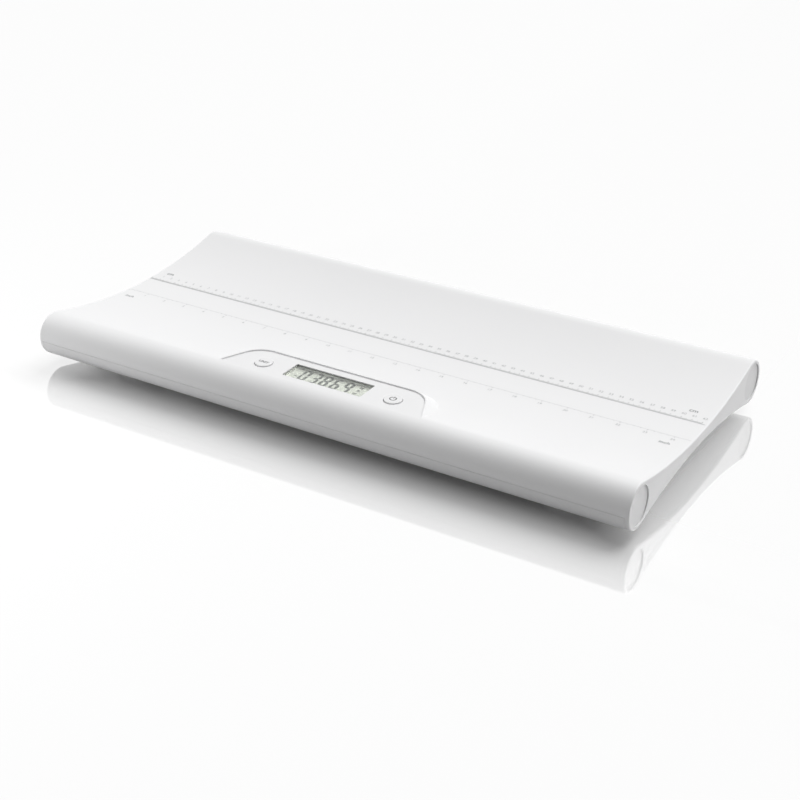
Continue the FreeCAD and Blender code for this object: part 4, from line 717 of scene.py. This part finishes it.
unit_words = [add_words(*unit, DISPLAY_Z, UNIT_BOLDNESS) for unit in DISPLAY_UNITS]
display_units = words_to_mesh("display_units", unit_words)
clear_selection()
pointer_middle = Vector((*POINTER_PLACE, DISPLAY_Z)) * MM
bpy.ops.mesh.primitive_circle_add(
    vertices=3, radius=POINTER_RADIUS * MM, fill_type="NGON", location=pointer_middle
)
pointer = bpy.context.object
apply_place(pointer)
minus_bar = add_strip("minus_bar", MINUS_PLACE, MINUS_SIZE, DISPLAY_Z)
display_marks = join("display_marks", [display_units, pointer, minus_bar])
finish_piece(display_marks, segment_ink, "base")

# %% [markdown]
# ## Key marks
# The left key changes the unit and the right key turns the scale on and off. Their marks are printed on
# the caps, so they ride with the keys when these are pressed.

# %% Unit key
KEY_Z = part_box("unit_button")[1][2] / MM + FLAT_INK_GAP
UNIT_MARK_HEIGHT, UNIT_MARK_BOLDNESS = 3.3, 0.12


def key_centre(node):
    low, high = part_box(node)
    return [(low[axis] + high[axis]) / 2 / MM for axis in (0, 1)]


UNIT_KEY, POWER_KEY = key_centre("unit_button"), key_centre("power_button")

unit_letters = add_words("UNIT", UNIT_KEY, UNIT_MARK_HEIGHT, KEY_Z, UNIT_MARK_BOLDNESS)
unit_mark = words_to_mesh("unit_mark", [unit_letters])
finish_piece(unit_mark, key_ink, "unit_key")

# %% [markdown]
# ### On and off sign
# The sign is a ring with an opening at the top and a short bar in it. The ring starts as a small plane,
# pressed together until it is hardly more than one edge. Spin sweeps this edge round the middle of the
# key and leaves the opening out, and the whole is then turned until the opening is at the top.

# %% On and off sign
RING_RADIUS, RING_WIDTH, RING_STEPS = 2.9, 1.0, 36
RING_OPENING = math.radians(26)
BAR_RISE, BAR_LENGTH = 2.3, 3.4
PRESSED_WIDTH = 0.001


def spin_ring(centre, at_z):
    """A flat ring with an opening at the top: one short edge swept round the middle."""
    middle = Vector((centre[0] * MM, centre[1] * MM, at_z * MM))
    clear_selection()
    edge_place = middle + Vector((RING_RADIUS * MM, 0, 0))
    bpy.ops.mesh.primitive_plane_add(size=RING_WIDTH * MM, location=edge_place)
    ring = bpy.context.object
    apply_place(ring)
    bpy.ops.object.mode_set(mode="EDIT")
    bpy.ops.mesh.select_all(action="DESELECT")
    bpy.ops.object.mode_set(mode="OBJECT")
    for vertex in ring.data.vertices:
        vertex.select = vertex.co.y > middle.y
        vertex.co.y = middle.y if vertex.select else middle.y - PRESSED_WIDTH * MM
    select_only(ring)
    bpy.ops.object.mode_set(mode="EDIT")
    sweep = 2 * math.pi - 2 * RING_OPENING
    bpy.ops.mesh.spin(steps=RING_STEPS, angle=sweep, center=middle, axis=(0, 0, 1))
    bpy.ops.mesh.select_all(action="SELECT")
    bpy.ops.transform.rotate(value=RING_OPENING - math.pi / 2, orient_axis="Z", center_override=middle)
    bpy.ops.mesh.normals_make_consistent(inside=False)
    bpy.ops.object.mode_set(mode="OBJECT")
    return ring


power_ring = spin_ring(POWER_KEY, KEY_Z)
power_bar = add_strip("power_bar", (POWER_KEY[0], POWER_KEY[1] + BAR_RISE), (RING_WIDTH, BAR_LENGTH), KEY_Z)
power_mark = join("power_mark", [power_ring, power_bar])
finish_piece(power_mark, key_ink, "power_key")
print("ring spans", [round(max(v.co[i] for v in power_mark.data.vertices) / MM, 2) for i in range(3)])

# %% [markdown]
# ## Stage
# The floor is a plain white sheet. To the camera, and in reflections, it counts as pure white, while the
# light it throws back onto the scale is weaker, so that the undersides of the rolls stay dark. Light Path
# tells these rays apart.

# %% Helpers for the stage


def plainly_seen(tree):
    """1 for the camera, also in mirrors and through glass, and 0 for light on its way between surfaces."""
    rays = tree.nodes.new("ShaderNodeLightPath")
    seen = math_node(tree, "MAXIMUM", rays.outputs["Is Camera Ray"], rays.outputs["Is Glossy Ray"])
    seen = math_node(tree, "MAXIMUM", seen, rays.outputs["Is Transmission Ray"])
    unscattered = math_node(tree, "LESS_THAN", rays.outputs["Diffuse Depth"], 0.5)
    return math_node(tree, "MULTIPLY", seen, unscattered), rays.outputs["Is Camera Ray"]


def ramp_between(tree, value, start, end):
    """0 at the start, 1 at the end, and a smooth step between."""
    node = tree.nodes.new("ShaderNodeMapRange")
    node.interpolation_type = "SMOOTHSTEP"
    node.inputs["From Min"].default_value = start * MM
    node.inputs["From Max"].default_value = end * MM
    tree.links.new(value, node.inputs["Value"])
    return node.outputs["Result"]


def product(tree, *values):
    """All the values multiplied together."""
    result = values[0]
    for value in values[1:]:
        result = math_node(tree, "MULTIPLY", result, value)
    return result


print("stage helpers ready")

# %% [markdown]
# ### Floor
# The strong gloss of the floor gives a clear mirror image. Light from all sides leaves hardly any shadow
# beyond the ends of the scale and in front of it, so there the floor glows a little by itself. Towards
# the front its gloss gets weaker as well, and more glow makes up for the white that this takes away.

# %% Floor
FLOOR_SIZE_M, FLOOR_DROP = 12, 0.05
FLOOR_BOUNCE = 0.38
OPEN_GLOW, RIGHT_GLOW = 0.6, 0.75
GLOW_IN_FRONT, GLOW_AT_LEFT, GLOW_AT_RIGHT = (124, 174), (235, 300), (262, 312)
GLOW_BEHIND_CORNER = (-180, -70)
FADE_IN_FRONT, MIRROR_FADE = (148, 200), 0.5
GLOSS_LEVEL, GLOW_LEVEL, GLOW_GAIN = 0.5, 0.5, 0.46

clear_selection()
bpy.ops.mesh.primitive_plane_add(size=FLOOR_SIZE_M, location=(0, 0, -FLOOR_DROP * MM))
floor = bpy.context.object
floor.name = "floor"
floor_white, tree, shader = new_material("floor_white", Roughness=0.04, IOR=5.5)
floor.data.materials.append(floor_white)
seen, by_camera = plainly_seen(tree)
axes = object_axes(tree)
to_left, to_front = (math_node(tree, "MULTIPLY", axes[name], -1.0) for name in "XY")
print("floor", tuple(floor.dimensions))

# %% [markdown]
# The glow is worked out from the place on the floor, with a smooth step at each border, and only the
# camera sees it.

# %% Glow and fading gloss of the floor
before_front = ramp_between(tree, to_front, *GLOW_IN_FRONT)
left_end = ramp_between(tree, to_left, *GLOW_AT_LEFT)
front_glow = product(tree, math_node(tree, "MAXIMUM", left_end, before_front), OPEN_GLOW)
right_end = ramp_between(tree, axes["X"], *GLOW_AT_RIGHT)
right_glow = product(tree, right_end, ramp_between(tree, axes["Y"], *GLOW_BEHIND_CORNER), RIGHT_GLOW)
camera_glow = product(tree, math_node(tree, "MAXIMUM", front_glow, right_glow), by_camera)
fade = product(tree, ramp_between(tree, to_front, *FADE_IN_FRONT), MIRROR_FADE, by_camera)
gloss_left = math_node(tree, "SUBTRACT", GLOSS_LEVEL, product(tree, fade, GLOSS_LEVEL))
glow_strength = math_node(tree, "ADD", product(tree, fade, GLOW_GAIN), GLOW_LEVEL)
tree.links.new(camera_glow, shader.inputs["Emission Color"])
tree.links.new(glow_strength, shader.inputs["Emission Strength"])
tree.links.new(gloss_left, shader.inputs["Specular IOR Level"])
floor_tone = tree.nodes.new("ShaderNodeMix")
floor_tone.data_type = "RGBA"
floor_tone.inputs["A"].default_value = (FLOOR_BOUNCE, FLOOR_BOUNCE, FLOOR_BOUNCE, 1)
tree.links.new(seen, floor_tone.inputs["Factor"])
tree.links.new(math_node(tree, "SUBTRACT", 1.0, camera_glow), floor_tone.inputs["B"])
tree.links.new(floor_tone.outputs["Result"], shader.inputs["Base Color"])
print("floor material", len(tree.nodes), "nodes")

# %% [markdown]
# ### Lights
# One large soft lamp hangs above and a little behind the scale, so the tray is bright, the front roll
# shades off downwards and the shadow falls close under it. A low soft lamp at the front left brightens
# that end of the front roll, and one at the right brightens the caps. The world fills in from all round.

# %% World and lamps
WORLD_FILL = 0.26
PANEL_SIZE_M = 0.3

world = bpy.data.worlds.new("studio_world")
bpy.context.scene.world = world
world.use_nodes = True
world_tree = world.node_tree
background = world_tree.nodes["Background"]
white_seen = plainly_seen(world_tree)[0]
fill_gain = math_node(world_tree, "MULTIPLY", white_seen, 1.0 - WORLD_FILL)
world_tree.links.new(math_node(world_tree, "ADD", fill_gain, WORLD_FILL), background.inputs["Strength"])
background.inputs["Color"].default_value = (1, 1, 1, 1)


def hang_lamp(name, kind, energy, direction):
    lamp_data = bpy.data.lights.new(name, kind)
    lamp_data.energy = energy
    lamp = bpy.data.objects.new(name, lamp_data)
    bpy.context.scene.collection.objects.link(lamp)
    lamp.rotation_euler = direction.to_track_quat("-Z", "Y").to_euler()
    return lamp


def add_soft_sun(name, direction, spread_degrees, strength):
    lamp = hang_lamp(name, "SUN", strength, Vector(direction))
    lamp.data.angle = math.radians(spread_degrees)


def add_soft_panel(name, place, target, power):
    """A round lamp, placed in metres, that neither the camera nor a mirror image shows."""
    lamp = hang_lamp(name, "AREA", power, Vector(target) - Vector(place))
    lamp.data.shape = "DISK"
    lamp.data.size = PANEL_SIZE_M
    lamp.location = place
    lamp.visible_camera = False
    lamp.visible_glossy = False


add_soft_sun("overhead_lamp", direction=(-0.2, -0.65, -1), spread_degrees=45, strength=2.6)
add_soft_panel("front_left_lamp", place=(-0.65, -0.60, 0.15), target=(-0.3, -0.15, 0.03), power=1.6)
add_soft_panel("right_lamp", place=(1.0, 0.25, 0.12), target=(0.31, 0, 0.03), power=0.2)
